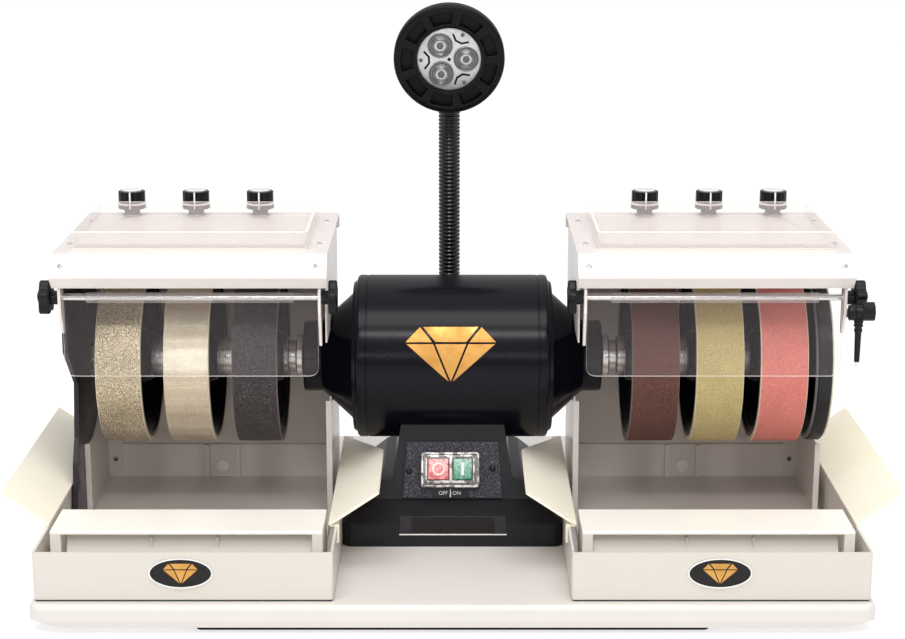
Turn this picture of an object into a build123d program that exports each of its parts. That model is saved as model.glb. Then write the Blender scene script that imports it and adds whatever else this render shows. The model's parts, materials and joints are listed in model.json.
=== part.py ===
from build123d import *
import os
from math import atan2, cos, radians, sin, sqrt

# Cabbing machine: a two-sided lapidary grinder with a centre motor, six 6-inch
# wheels on one shaft, a splash hood over each side and a gooseneck lamp.
# Millimetres. X runs along the shaft, Y from front to back, Z up. The origin is
# on the floor, under the middle of the machine. Right-hand pieces are drawn at
# +X, and the left-hand ones are their mirror images about the YZ plane.

# ---------------------------------------------------------------- dimensions
WHEEL_RADIUS = 76.2            # six-inch wheels
HARD_WIDTH = 39.0              # plated wheels, left
SOFT_WIDTH = 41.0              # resin wheels, right
LEFT_WHEELS = (-287.9, -229.2, -170.5)
RIGHT_WHEELS = (175.0, 230.35, 285.7)
BAND_THICK = 4.2
BAND_EDGE = 0.8                # rounding of a band's outer corners

BASE_WIDTH, BASE_DEPTH = 681.5, 470.0
BASE_CORNER = 11.0             # corner radius of the base seen from above
BASE_CORNER_LOW = 32.0         # the same at the bottom edge, where the corners tuck under
BASE_TUCK = 6.0                # height over which they do so
BASE_TOP = 25.0                # top face of the base plate
BASE_BOTTOM = 6.0
PLINTH_BOTTOM = 4.0
PLINTH_INSET = 12.0

SHAFT_Z = BASE_TOP + 146.0
SHAFT_RADIUS = 9.5             # where the wheels sit
JOURNAL_RADIUS = 12.5          # inside the motor
RUN_CLEARANCE = 0.05
FLOAT_GAP = 0.4                # between pieces that move past each other

MOTOR_RADIUS = 72.5
MOTOR_HALF = 86.0
CAP_CONE_RADIUS = 56.5
CAP_CONE_START = 87.5
CAP_CONE_END = 115.0
BOSS_RADIUS = 31.5
BOSS_END = 132.0
BEARING_RADIUS = 26.0
BEARING_WIDTH = 15.0
BEARING_X = 121.5
BALL_PITCH = 19.4              # radius of the ring of balls
STATOR_HALF = 46.0

SHEET = 1.5                    # hood sheet metal
HOOD_IN, HOOD_OUT = 107.5, 328.5   # outer faces of a hood's two side walls
HOOD_MID = 219.0
HOOD_BACK = 92.0
WALL_FRONT = -27.0             # front edge of the low side walls
HOOD_TOP = BASE_TOP + 258.7
TOP_THICK = 2.0
TOP_FRONT, TOP_BACK = -96.0, 94.0
TOP_IN, TOP_OUT = 105.0, 336.5
MOUTH_RADIUS = 79.5            # arc in the outer wall, round the wheels
FLANGE = 5.0
GUARD_THICK = 4.4              # splash guard on the left unit's outer wall

ROD_Y, ROD_Z = -90.0, BASE_TOP + 220.0
ROD_RADIUS = 2.6
BRACKET_THICK = 2.4
BRACKET_OUT, BRACKET_IN = 329.6, 113.2   # outer tab's inner face, inner tab's outer face
FLAP_BOTTOM = BASE_TOP + 152.0
FLAP_THICK = 2.6
FLAP_IN, FLAP_OUT = 113.6, 329.2
SLEEVE_IN, SLEEVE_OUT = 134.0, 309.0
SLEEVE_RADIUS = 4.4
STAR_RADIUS = 15.0

VALVE_Y = 80.0
VALVE_X = (177.0, 236.0, 295.0)
NECK_HEIGHT = 5.0              # fixed chrome neck under each valve knob
NECK_RADIUS = 7.4
DIAL_RADIUS = 13.0             # widest part of the turning dial under the knob
DIAL_FLARE, DIAL_HEIGHT = 1.6, 5.2
KNOB_RADIUS = 12.3
KNOB_HEIGHT = 12.2
CAP_RADIUS, CAP_HEIGHT = 9.4, 1.8
STEM_RADIUS = 3.0

TRAY_IN, TRAY_OUT = 122.0, 324.0
TRAY_FRONT, TRAY_BACK = -77.0, 66.4
TRAY_HEIGHT = 15.0
TRAY_WALL = 3.0

PAN_IN, PAN_OUT = 95.8, 336.8
PAN_FRONT, PAN_BACK = -225.0, 91.0
PAN_HEIGHT = 41.6
PAN_WALL = 2.0
PAN_FLOOR_END = -136.0
PAN_GAP = 1.6                  # a pan stands this far off the base on its runners
REST_IN, REST_OUT = 106.0, 328.2
REST_LEG = 8.5
REST_FRONT, REST_BACK = -193.0, -136.0
REST_TOP = BASE_TOP + 48.0
WING_RIM = BASE_TOP + 43.0
WING_TOP = BASE_TOP + 70.0
WING_THICK = 2.0
WING_FRONT = -163.0
WING_OUT_X = 374.5
WING_IN_X = 60.5

PEDESTAL_FOOT = 95.0           # half width of the foot
PEDESTAL_DEPTH = 97.0          # half depth of the foot
PEDESTAL_WALL = 6.0
PEDESTAL_CLEAR = 150.0         # reach of the cuts that go right through it
PEDESTAL_NECK = 52.0           # half width where the shoulders meet the neck
FOOT_HEIGHT = 20.0
FOOT_CORNER = 8.0
SHOULDER_Z = BASE_TOP + 49.0   # top of the sloping shoulders
NECK_TOP_IN = 7.0              # how far the neck narrows on its way up
NECK_BACK, NECK_BACK_TOP = 70.0, 50.0  # half depths low down and under the motor
INLET_HALF, INLET_LOW, INLET_HIGH = 14.0, BASE_TOP + 4.0, BASE_TOP + 18.0
PANEL_LOW = (-70.0, BASE_TOP + 34.5)    # (Y, Z) of the panel's lower edge
PANEL_HIGH = (-55.0, BASE_TOP + 83.0)
PANEL_THICK = 2.5
SWITCH_X = -2.0
SWITCH_WIDTH, SWITCH_TALL = 51.0, 31.0
SWITCH_CUTOUT = (46.0, 27.0)
SWITCH_PROUD = 5.0
OFF_X, ON_X = -12.4, 8.8       # button centres
OFF_SIZE, ON_SIZE = 18.4, 17.0
BUTTON_TALL = 19.0

LAMP_X, LAMP_Y = -3.0, 114.0
LAMP_RADIUS = 10.2             # gooseneck
NECK_JOINTS = (BASE_TOP + 140.0, BASE_TOP + 265.0)
HEAD_Z = BASE_TOP + 412.0
HEAD_RADIUS = 50.0
HEAD_TILT = 10.0

os.makedirs("parts", exist_ok=True)


def save(piece, name):
    """Label a finished piece and write its STEP file."""
    piece.part.label = name
    export_step(piece.part, f"parts/{name}.step")


def save_pair(piece, name):
    """Write the right-hand piece and its mirror image."""
    save(piece, f"{name}_right")
    with BuildPart() as twin:
        mirror(piece.part, about=Plane.YZ)
    save(twin, f"{name}_left")


def side_plane(x):
    """Plane across the shaft at x: local x is Y, local y is Z, extrusions go to +X."""
    return Plane(origin=(x, 0, 0), x_dir=(0, 1, 0), z_dir=(1, 0, 0))


def span(low, high, **keys):
    """Add a box given its two opposite corners."""
    size = [b - a for a, b in zip(low, high)]
    centre = tuple((a + b) / 2 for a, b in zip(low, high))
    with Locations(centre):
        Box(*size, **keys)


def ring(start, end, outer, inner=0.0, **keys):
    """Add a round piece about the shaft axis, from x = start to x = end."""
    plane = Plane(origin=(start, 0, SHAFT_Z), x_dir=(0, 1, 0), z_dir=(1, 0, 0))
    with BuildSketch(plane) as outline:
        Circle(outer)
        if inner:
            Circle(inner, mode=Mode.SUBTRACT)
    extrude(outline.sketch, amount=end - start, **keys)


def turned(points, **keys):
    """Revolve an (x, radius) outline about the shaft axis."""
    with BuildSketch(Plane(origin=(0, 0, SHAFT_Z), x_dir=(1, 0, 0), z_dir=(0, -1, 0))) as outline:
        with BuildLine():
            Polyline(*points, close=True)
        make_face()
    revolve(outline.sketch, axis=Axis((0, 0, SHAFT_Z), (1, 0, 0)), **keys)


def plate(points, thick):
    """Add a flat sheet whose outline is given by points in space."""
    extrude(to_extrude=Face(Wire.make_polygon(points, close=True)), amount=thick)


# ---------------------------------------------------------------- base
with BuildPart() as base_plate:
    with BuildSketch(Plane.XY.offset(BASE_BOTTOM)):
        RectangleRounded(BASE_WIDTH - 4, BASE_DEPTH - 4, BASE_CORNER_LOW)
    with BuildSketch(Plane.XY.offset(BASE_BOTTOM + BASE_TUCK)):
        RectangleRounded(BASE_WIDTH, BASE_DEPTH, BASE_CORNER)
    loft()
    with BuildSketch(Plane.XY.offset(BASE_BOTTOM + BASE_TUCK)):
        RectangleRounded(BASE_WIDTH, BASE_DEPTH, BASE_CORNER)
    extrude(amount=BASE_TOP - BASE_BOTTOM - BASE_TUCK)
    fillet(base_plate.edges().group_by(Axis.Z)[-1], 5)
    with BuildSketch(Plane.XY.offset(PLINTH_BOTTOM)):
        RectangleRounded(BASE_WIDTH - 2 * PLINTH_INSET, BASE_DEPTH - 2 * PLINTH_INSET, 24)
    extrude(amount=BASE_BOTTOM - PLINTH_BOTTOM)
save(base_plate, "base_plate")

with BuildPart() as foot_strips:
    with BuildSketch():
        with GridLocations(0, 422, 1, 2):
            RectangleRounded(414, 24, 4)
    extrude(amount=PLINTH_BOTTOM)
save(foot_strips, "foot_strips")


# ---------------------------------------------------------------- pedestal
def pedestal_block(inset, floor):
    """The pedestal's outside shape, or the hollow inside it when inset is the wall."""
    foot, neck, depth = PEDESTAL_FOOT - inset, PEDESTAL_NECK - inset, PEDESTAL_DEPTH - inset
    foot_top = BASE_TOP + FOOT_HEIGHT - inset / 2
    top = SHAFT_Z
    half = [(foot, floor), (foot, foot_top), (neck + 9, SHOULDER_Z - inset), (neck, SHOULDER_Z + 4 - inset),
            (neck - NECK_TOP_IN, PANEL_HIGH[1] + 15), (neck - NECK_TOP_IN, top)]
    front = half + [(-x, z) for x, z in reversed(half)]
    side = [(-depth, floor), (depth, floor), (depth, foot_top), (NECK_BACK - inset, PANEL_LOW[1] - inset),
            (-PANEL_HIGH[0] - inset, PANEL_HIGH[1]), (NECK_BACK_TOP - inset, top), (-NECK_BACK_TOP + inset, top),
            (PANEL_HIGH[0] + inset, PANEL_HIGH[1]), (PANEL_LOW[0] + inset, PANEL_LOW[1] - inset), (-depth, foot_top)]
    with BuildPart() as block:
        with BuildSketch(Plane.XZ):
            with BuildLine():
                Polyline(*front, close=True)
            make_face()
        extrude(amount=PEDESTAL_CLEAR, both=True)
        with BuildSketch(side_plane(0)):
            with BuildLine():
                Polyline(*side, close=True)
            make_face()
        extrude(amount=PEDESTAL_CLEAR, both=True, mode=Mode.INTERSECT)
        corners = [edge for edge in block.edges().filter_by(Axis.Z) if edge.center().Z < foot_top]
        fillet(corners, FOOT_CORNER - inset)
    return block.part


PANEL_LEAN = atan2(PANEL_HIGH[0] - PANEL_LOW[0], PANEL_HIGH[1] - PANEL_LOW[1])
PANEL_RISE = sqrt((PANEL_HIGH[0] - PANEL_LOW[0]) ** 2 + (PANEL_HIGH[1] - PANEL_LOW[1]) ** 2)
panel_plane = Plane(
    origin=(0, (PANEL_LOW[0] + PANEL_HIGH[0]) / 2, (PANEL_LOW[1] + PANEL_HIGH[1]) / 2),
    x_dir=(1, 0, 0),
    z_dir=(0, -cos(PANEL_LEAN), sin(PANEL_LEAN)),
)

outside = pedestal_block(0, BASE_TOP)
hollow = pedestal_block(PEDESTAL_WALL, BASE_TOP - 1)
with BuildPart() as pedestal:
    add(outside)
    add(hollow, mode=Mode.SUBTRACT)
    ring(-PEDESTAL_CLEAR, PEDESTAL_CLEAR, MOTOR_RADIUS + 0.1, mode=Mode.SUBTRACT)
    with BuildSketch(panel_plane):
        with Locations((SWITCH_X, 0)):
            Rectangle(*SWITCH_CUTOUT)
    extrude(amount=-20, mode=Mode.SUBTRACT)
    span((-INLET_HALF, PEDESTAL_DEPTH - 12, INLET_LOW), (INLET_HALF, PEDESTAL_DEPTH + 10, INLET_HIGH),
         mode=Mode.SUBTRACT)
save(pedestal, "pedestal")

with BuildPart() as switch_plate:
    with BuildSketch(panel_plane):
        with BuildLine():
            Polyline((-44, -PANEL_RISE / 2 + 1), (44, -PANEL_RISE / 2 + 1), (40, PANEL_RISE / 2 - 1),
                     (-40, PANEL_RISE / 2 - 1), close=True)
        make_face()
        with Locations((SWITCH_X, 0)):
            Rectangle(*SWITCH_CUTOUT, mode=Mode.SUBTRACT)
    extrude(amount=PANEL_THICK)
save(switch_plate, "switch_plate")

with BuildPart() as switch_housing:
    with BuildSketch(panel_plane.offset(PANEL_THICK)):
        with Locations((SWITCH_X, 0)):
            RectangleRounded(SWITCH_WIDTH, SWITCH_TALL, 3)
    extrude(amount=SWITCH_PROUD)
    with BuildSketch(panel_plane.offset(PANEL_THICK)):
        with Locations((SWITCH_X, 0)):
            Rectangle(SWITCH_CUTOUT[0] - 0.6, SWITCH_CUTOUT[1] - 0.6)
    extrude(amount=-18)
    for centre, size in ((OFF_X, OFF_SIZE), (ON_X, ON_SIZE)):
        with BuildSketch(panel_plane.offset(PANEL_THICK + SWITCH_PROUD)):
            with Locations((centre, 0)):
                Rectangle(size + 2 * FLOAT_GAP, BUTTON_TALL + 2 * FLOAT_GAP)
        extrude(amount=-(SWITCH_PROUD + 12), mode=Mode.SUBTRACT)
save(switch_housing, "switch_housing")

for name, centre, size in (("off_button", OFF_X, OFF_SIZE), ("on_button", ON_X, ON_SIZE)):
    with BuildPart() as button:
        with BuildSketch(panel_plane.offset(PANEL_THICK + SWITCH_PROUD + 0.5)):
            with Locations((centre, 0)):
                RectangleRounded(size, BUTTON_TALL, 1.2)
        extrude(amount=-(SWITCH_PROUD + 8))
    save(button, name)

with BuildPart() as power_inlet:
    span((-INLET_HALF + FLOAT_GAP, 82, INLET_LOW + FLOAT_GAP),
         (INLET_HALF - FLOAT_GAP, PEDESTAL_DEPTH + 2, INLET_HIGH - FLOAT_GAP))
    span((-9, 86, INLET_LOW + 2.5), (9, PEDESTAL_DEPTH + 2, INLET_HIGH - 2.5), mode=Mode.SUBTRACT)
    for x in (-5, 0, 5):
        span((x - 0.8, 85, INLET_LOW + 6), (x + 0.8, PEDESTAL_DEPTH - 4, INLET_LOW + 9))
save(power_inlet, "power_inlet")


# ---------------------------------------------------------------- motor
with BuildPart() as motor_shell:
    ring(-MOTOR_HALF, MOTOR_HALF, MOTOR_RADIUS)
    fillet(motor_shell.edges().filter_by(GeomType.CIRCLE), 6)
    ring(-MOTOR_HALF, MOTOR_HALF, MOTOR_RADIUS - 3.5, mode=Mode.SUBTRACT)
save(motor_shell, "motor_shell")

with BuildPart() as end_cap:
    turned([
        (MOTOR_HALF - 8, MOTOR_RADIUS - 3.5), (MOTOR_HALF, MOTOR_RADIUS - 3.5), (CAP_CONE_START, 64),
        (CAP_CONE_START, CAP_CONE_RADIUS), (CAP_CONE_END, BOSS_RADIUS + 0.5), (BOSS_END, BOSS_RADIUS),
        (BOSS_END, 16), (BEARING_X + BEARING_WIDTH / 2, 16), (BEARING_X + BEARING_WIDTH / 2, BEARING_RADIUS),
        (BEARING_X - BEARING_WIDTH / 2, BEARING_RADIUS), (BEARING_X - BEARING_WIDTH / 2, 20),
        (CAP_CONE_END - 6, 20), (CAP_CONE_START - 5, CAP_CONE_RADIUS - 6), (MOTOR_HALF - 8, 60),
    ])
with BuildPart() as motor_end_caps:
    add(end_cap.part)
    mirror(end_cap.part, about=Plane.YZ)
save(motor_end_caps, "motor_end_caps")

with BuildPart() as motor_stator:
    ring(-STATOR_HALF, STATOR_HALF, MOTOR_RADIUS - 3.5, 42)
    with BuildSketch(Plane(origin=(-STATOR_HALF, 0, SHAFT_Z), x_dir=(0, 1, 0), z_dir=(1, 0, 0))):
        with PolarLocations(51, 12):
            Rectangle(13, 7)
    extrude(amount=2 * STATOR_HALF, mode=Mode.SUBTRACT)
save(motor_stator, "motor_stator")

with BuildPart() as motor_rotor:
    ring(-STATOR_HALF, STATOR_HALF, 41.5, JOURNAL_RADIUS)
    ring(-STATOR_HALF - 8, -STATOR_HALF, 37, 28)
    ring(STATOR_HALF, STATOR_HALF + 8, 37, 28)
save(motor_rotor, "motor_rotor")

with BuildPart() as ball_bearings:
    for centre in (-BEARING_X, BEARING_X):
        start, end = centre - BEARING_WIDTH / 2, centre + BEARING_WIDTH / 2
        ring(start, end, BEARING_RADIUS, 22.4)
        ring(start, end, 16.4, JOURNAL_RADIUS + RUN_CLEARANCE)
        with BuildSketch(Plane(origin=(centre, 0, SHAFT_Z), x_dir=(1, 0, 0), z_dir=(0, -1, 0))):
            with Locations((0, BALL_PITCH)):
                Circle(3.4)
        revolve(axis=Axis((0, 0, SHAFT_Z), (1, 0, 0)))
save(ball_bearings, "ball_bearings")

# ---------------------------------------------------------------- spindle
with BuildPart() as main_shaft:
    ring(-BOSS_END - 0.5, BOSS_END + 0.5, JOURNAL_RADIUS)
    ring(-321, 318, SHAFT_RADIUS)
save(main_shaft, "main_shaft")

CORE_RADIUS = WHEEL_RADIUS - BAND_THICK
with BuildPart() as wheel_cores:
    for centres, width in ((LEFT_WHEELS, HARD_WIDTH), (RIGHT_WHEELS, SOFT_WIDTH)):
        half = width / 2
        for x in centres:
            turned([
                (x - half, SHAFT_RADIUS), (x - half, 19), (x - half + 2, 21), (x - 4, 24), (x - 4, 62),
                (x - half + 1.5, 66), (x - half, 67), (x - half, CORE_RADIUS), (x + half, CORE_RADIUS),
                (x + half, 67), (x + half - 1.5, 66), (x + 4, 62), (x + 4, 24), (x + half - 2, 21),
                (x + half, 19), (x + half, SHAFT_RADIUS),
            ])
save(wheel_cores, "wheel_cores")

for number, x in enumerate(LEFT_WHEELS + RIGHT_WHEELS, start=1):
    width = HARD_WIDTH if x < 0 else SOFT_WIDTH
    with BuildPart() as wheel_band:
        ring(x - width / 2, x + width / 2, WHEEL_RADIUS)
        fillet(wheel_band.edges().filter_by(GeomType.CIRCLE), BAND_EDGE)
        ring(x - width / 2, x + width / 2, CORE_RADIUS, mode=Mode.SUBTRACT)
    save(wheel_band, f"wheel_band_{number}")

wheel_ends = {
    -1: (LEFT_WHEELS[2] + HARD_WIDTH / 2, LEFT_WHEELS[2] - HARD_WIDTH / 2, LEFT_WHEELS[1] + HARD_WIDTH / 2,
         LEFT_WHEELS[1] - HARD_WIDTH / 2, LEFT_WHEELS[0] + HARD_WIDTH / 2),
    1: (RIGHT_WHEELS[0] - SOFT_WIDTH / 2, RIGHT_WHEELS[0] + SOFT_WIDTH / 2, RIGHT_WHEELS[1] - SOFT_WIDTH / 2,
        RIGHT_WHEELS[1] + SOFT_WIDTH / 2, RIGHT_WHEELS[2] - SOFT_WIDTH / 2),
}
with BuildPart() as spindle_spacers:
    for side, (first, gap_a, gap_b, gap_c, gap_d) in wheel_ends.items():
        steps = [(side * (BOSS_END + 0.9), side * 139, 19.4), (side * 139, side * 146, 14),
                 (side * 146, first, 17.5), (gap_a, gap_b, 17.5), (gap_c, gap_d, 17.5)]
        for start, end, outer in steps:
            ring(min(start, end), max(start, end), outer, SHAFT_RADIUS)
save(spindle_spacers, "spindle_spacers")

LEFT_END = LEFT_WHEELS[0] - HARD_WIDTH / 2
RIGHT_END = RIGHT_WHEELS[2] + SOFT_WIDTH / 2
with BuildPart() as shaft_nuts:
    ring(LEFT_END - 2.5, LEFT_END, 22, SHAFT_RADIUS)
    with BuildSketch(Plane(origin=(LEFT_END - 14.5, 0, SHAFT_Z), x_dir=(0, 1, 0), z_dir=(1, 0, 0))):
        RegularPolygon(15, 6)
        Circle(SHAFT_RADIUS, mode=Mode.SUBTRACT)
    extrude(amount=12)
save(shaft_nuts, "shaft_nuts")

DISC_START, DISC_END = RIGHT_END + 0.5, 327.0
with BuildPart() as polishing_disc:
    turned([
        (DISC_START, SHAFT_RADIUS), (DISC_START, 20), (DISC_START + 6, 24), (DISC_END - 7, 66),
        (DISC_END - 12, 70), (DISC_END - 12, 75), (DISC_END - 1, 75.5), (DISC_END, 74.5), (DISC_END, 0),
        (318, 0), (318, SHAFT_RADIUS),
    ])
save(polishing_disc, "polishing_disc")

with BuildPart() as polishing_pad:
    ring(DISC_END, DISC_END + 2, 73.5)
save(polishing_pad, "polishing_pad")


# ---------------------------------------------------------------- hoods
FLOOR_Z = BASE_TOP + 2.5
SEAM_Z = BASE_TOP + 36.0
with BuildPart() as hood_shell:
    # outer side wall, cut away round the wheels and in front of them
    with BuildSketch(side_plane(HOOD_OUT - SHEET)):
        with BuildLine():
            Polyline((WALL_FRONT, BASE_TOP), (HOOD_BACK, BASE_TOP), (HOOD_BACK, HOOD_TOP - TOP_THICK),
                     (-20, HOOD_TOP - TOP_THICK), (-20, SHAFT_Z), (WALL_FRONT, SHAFT_Z), close=True)
        make_face()
        with Locations((0, SHAFT_Z)):
            Circle(MOUTH_RADIUS, mode=Mode.SUBTRACT)
        with Locations((-60, SHAFT_Z + 40)):
            Rectangle(120, 80, mode=Mode.SUBTRACT)
    extrude(amount=SHEET)
    # inner side wall, with a slot for the motor's boss
    with BuildSketch(side_plane(HOOD_IN)):
        with BuildLine():
            Polyline((WALL_FRONT, BASE_TOP), (HOOD_BACK, BASE_TOP), (HOOD_BACK, HOOD_TOP - TOP_THICK),
                     (-72, HOOD_TOP - TOP_THICK), (-72, SHAFT_Z + 27), (WALL_FRONT, SHAFT_Z + 27), close=True)
        make_face()
        with Locations((0, SHAFT_Z)):
            Circle(BOSS_RADIUS + 9, mode=Mode.SUBTRACT)
        with Locations((-50, SHAFT_Z)):
            Rectangle(100, 60, mode=Mode.SUBTRACT)
    extrude(amount=SHEET)
    # back wall and floor
    span((HOOD_IN, HOOD_BACK - SHEET, BASE_TOP), (HOOD_OUT, HOOD_BACK, HOOD_TOP - TOP_THICK))
    span((HOOD_IN, WALL_FRONT, FLOOR_Z), (HOOD_OUT, HOOD_BACK, FLOOR_Z + SHEET))
    span((HOOD_IN + 2, REST_BACK + 2, FLOOR_Z), (HOOD_OUT - 2, WALL_FRONT, FLOOR_Z + SHEET))
    # return flanges on the front edges of the low walls
    mouth_z = SHAFT_Z - sqrt(MOUTH_RADIUS ** 2 - WALL_FRONT ** 2)
    span((HOOD_OUT - FLANGE, WALL_FRONT, BASE_TOP + 2.5), (HOOD_OUT, WALL_FRONT + SHEET, mouth_z))
    span((HOOD_IN, WALL_FRONT, BASE_TOP + 2.5), (HOOD_IN + FLANGE, WALL_FRONT + SHEET, SHAFT_Z - 35))
    # rear panel under the seam, with two ribs beside the drain
    span((HOOD_IN, HOOD_BACK - 5, FLOOR_Z), (HOOD_OUT, HOOD_BACK - SHEET, SEAM_Z))
    for x in (HOOD_MID - 14.5, HOOD_MID + 14.5):
        span((x - 2, HOOD_BACK - 8, FLOOR_Z), (x + 2, HOOD_BACK - 5, SEAM_Z))
    # corner angle
    span((HOOD_OUT - 14, HOOD_BACK - 7, BASE_TOP + 8), (HOOD_OUT - SHEET, HOOD_BACK - 5, BASE_TOP + 52))
    # top return that carries the cover
    span((HOOD_IN, HOOD_BACK - 14, HOOD_TOP - TOP_THICK - SHEET), (HOOD_OUT, HOOD_BACK, HOOD_TOP - TOP_THICK))
    with Locations(*[(x, VALVE_Y, HOOD_TOP - TOP_THICK - SHEET) for x in VALVE_X]):
        Cylinder(7.2, 8, mode=Mode.SUBTRACT)
save_pair(hood_shell, "hood_shell")

NOSE_FACE = (-110.0, BASE_TOP + 241.0)
NOSE_LIP = (-99.0, BASE_TOP + 229.5)
with BuildPart() as hood_top:
    with BuildSketch(side_plane(TOP_IN)):
        with BuildLine():
            Polyline((TOP_BACK, HOOD_TOP), (TOP_FRONT, HOOD_TOP), NOSE_FACE, NOSE_LIP,
                     (NOSE_LIP[0] + 1.5, NOSE_LIP[1] + 1.5), (NOSE_FACE[0] + 3, NOSE_FACE[1]),
                     (TOP_FRONT + 1.5, HOOD_TOP - TOP_THICK), (TOP_BACK, HOOD_TOP - TOP_THICK), close=True)
        make_face()
    extrude(amount=TOP_OUT - TOP_IN)
    span((TOP_IN, HOOD_BACK + 0.1, HOOD_TOP - 14), (TOP_OUT, TOP_BACK, HOOD_TOP - TOP_THICK))
    with Locations(*[(x, VALVE_Y, HOOD_TOP) for x in VALVE_X]):
        Cylinder(6, 10, mode=Mode.SUBTRACT)
with BuildPart() as hood_tops:
    add(hood_top.part)
    mirror(hood_top.part, about=Plane.YZ)
save(hood_tops, "hood_tops")

with BuildPart() as side_guard:
    with BuildSketch(side_plane(HOOD_OUT + 0.1)):
        with BuildLine():
            Polyline((HOOD_BACK, BASE_TOP + 0.3), (HOOD_BACK, HOOD_TOP - TOP_THICK - 12),
                     (-81, HOOD_TOP - TOP_THICK - 12), (-82, BASE_TOP + 169), (-40, BASE_TOP + 131),
                     (-49, BASE_TOP + 84), (-61, BASE_TOP + 64), (-68, BASE_TOP + 26),
                     (-68, BASE_TOP + 0.3), close=True)
        make_face()
    extrude(amount=GUARD_THICK)
with BuildPart() as side_guard_left:
    mirror(side_guard.part, about=Plane.YZ)
save(side_guard_left, "side_guard_left")

with BuildPart() as flap_brackets:
    for side in (-1, 1):
        for x, bottom in ((BRACKET_OUT, BASE_TOP + 188), (BRACKET_IN - BRACKET_THICK, BASE_TOP + 177)):
            start = x if side > 0 else -x - BRACKET_THICK
            with BuildSketch(side_plane(start)):
                with BuildLine():
                    Polyline((-82.5, bottom), (-87, bottom), (-98, ROD_Z - 12), (-98, BASE_TOP + 228),
                             (-95.5, BASE_TOP + 231.5), (-105, BASE_TOP + 241), (-93, HOOD_TOP - TOP_THICK),
                             (-82.5, HOOD_TOP - TOP_THICK), close=True)
                make_face()
                with Locations((ROD_Y, ROD_Z)):
                    Circle(ROD_RADIUS + RUN_CLEARANCE, mode=Mode.SUBTRACT)
            extrude(amount=BRACKET_THICK)
save(flap_brackets, "flap_brackets")

with BuildPart() as splash_flap:
    with BuildSketch(Plane.XZ.offset(-(ROD_Y - SLEEVE_RADIUS))):
        with BuildLine():
            Polyline((FLAP_IN, ROD_Z + 4), (FLAP_IN, FLAP_BOTTOM), (FLAP_OUT, FLAP_BOTTOM), (FLAP_OUT, ROD_Z + 4),
                     close=True)
        make_face()
    extrude(amount=-FLAP_THICK)
    fillet(splash_flap.edges().filter_by(Axis.Y).group_by(Axis.Z)[0], 9)
    with BuildSketch(side_plane(SLEEVE_IN)):
        with Locations((ROD_Y, ROD_Z)):
            Circle(SLEEVE_RADIUS)
    extrude(amount=SLEEVE_OUT - SLEEVE_IN)
    with BuildSketch(side_plane(FLAP_IN - 5)):
        with Locations((ROD_Y, ROD_Z)):
            Circle(ROD_RADIUS)
    extrude(amount=FLAP_OUT - FLAP_IN + 10, mode=Mode.SUBTRACT)
save_pair(splash_flap, "splash_flap")

STAR_OUT = (BRACKET_OUT + BRACKET_THICK + FLOAT_GAP, 338.5, 348.0)
STAR_IN = (BRACKET_IN - BRACKET_THICK - FLOAT_GAP, 104.6, 97.2)
with BuildPart() as flap_rod:
    with BuildSketch(side_plane(STAR_IN[1])):
        with Locations((ROD_Y, ROD_Z)):
            Circle(ROD_RADIUS)
    extrude(amount=STAR_OUT[1] - STAR_IN[1])
save_pair(flap_rod, "flap_rod")

with BuildPart() as flap_knobs:
    for boss, face, end in (STAR_OUT, STAR_IN):
        way = 1 if end > face else -1
        with BuildSketch(side_plane(boss)):
            with Locations((ROD_Y, ROD_Z)):
                Circle(6)
                Circle(ROD_RADIUS, mode=Mode.SUBTRACT)
        extrude(amount=face - boss)
        with BuildSketch(side_plane(face)):
            with Locations((ROD_Y, ROD_Z)):
                Circle(10.5)
                with PolarLocations(10.8, 5, start_angle=90):
                    Circle(STAR_RADIUS - 10.8)
        extrude(amount=end - face)
save_pair(flap_knobs, "flap_knobs")

# ---------------------------------------------------------------- water valves
with BuildPart() as valve_bodies:
    for side in (-1, 1):
        for x in VALVE_X:
            with Locations((side * x, VALVE_Y, HOOD_TOP)):
                Cylinder(NECK_RADIUS, NECK_HEIGHT, align=(Align.CENTER, Align.CENTER, Align.MIN))
                Cylinder(5.6, TOP_THICK + 22, align=(Align.CENTER, Align.CENTER, Align.MAX))
            spout = Plane(origin=(side * x, VALVE_Y, HOOD_TOP - 18), x_dir=(1, 0, 0), z_dir=(0, -1, 0))
            with BuildSketch(spout):
                Circle(3.5)
            extrude(amount=66)
            with Locations((side * x, VALVE_Y - 63, HOOD_TOP - 18)):
                Cylinder(2.5, 9, align=(Align.CENTER, Align.CENTER, Align.MAX))
            with Locations((side * x, VALVE_Y, HOOD_TOP + NECK_HEIGHT)):
                Hole(STEM_RADIUS + RUN_CLEARANCE, 22)
save(valve_bodies, "valve_bodies")

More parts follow.
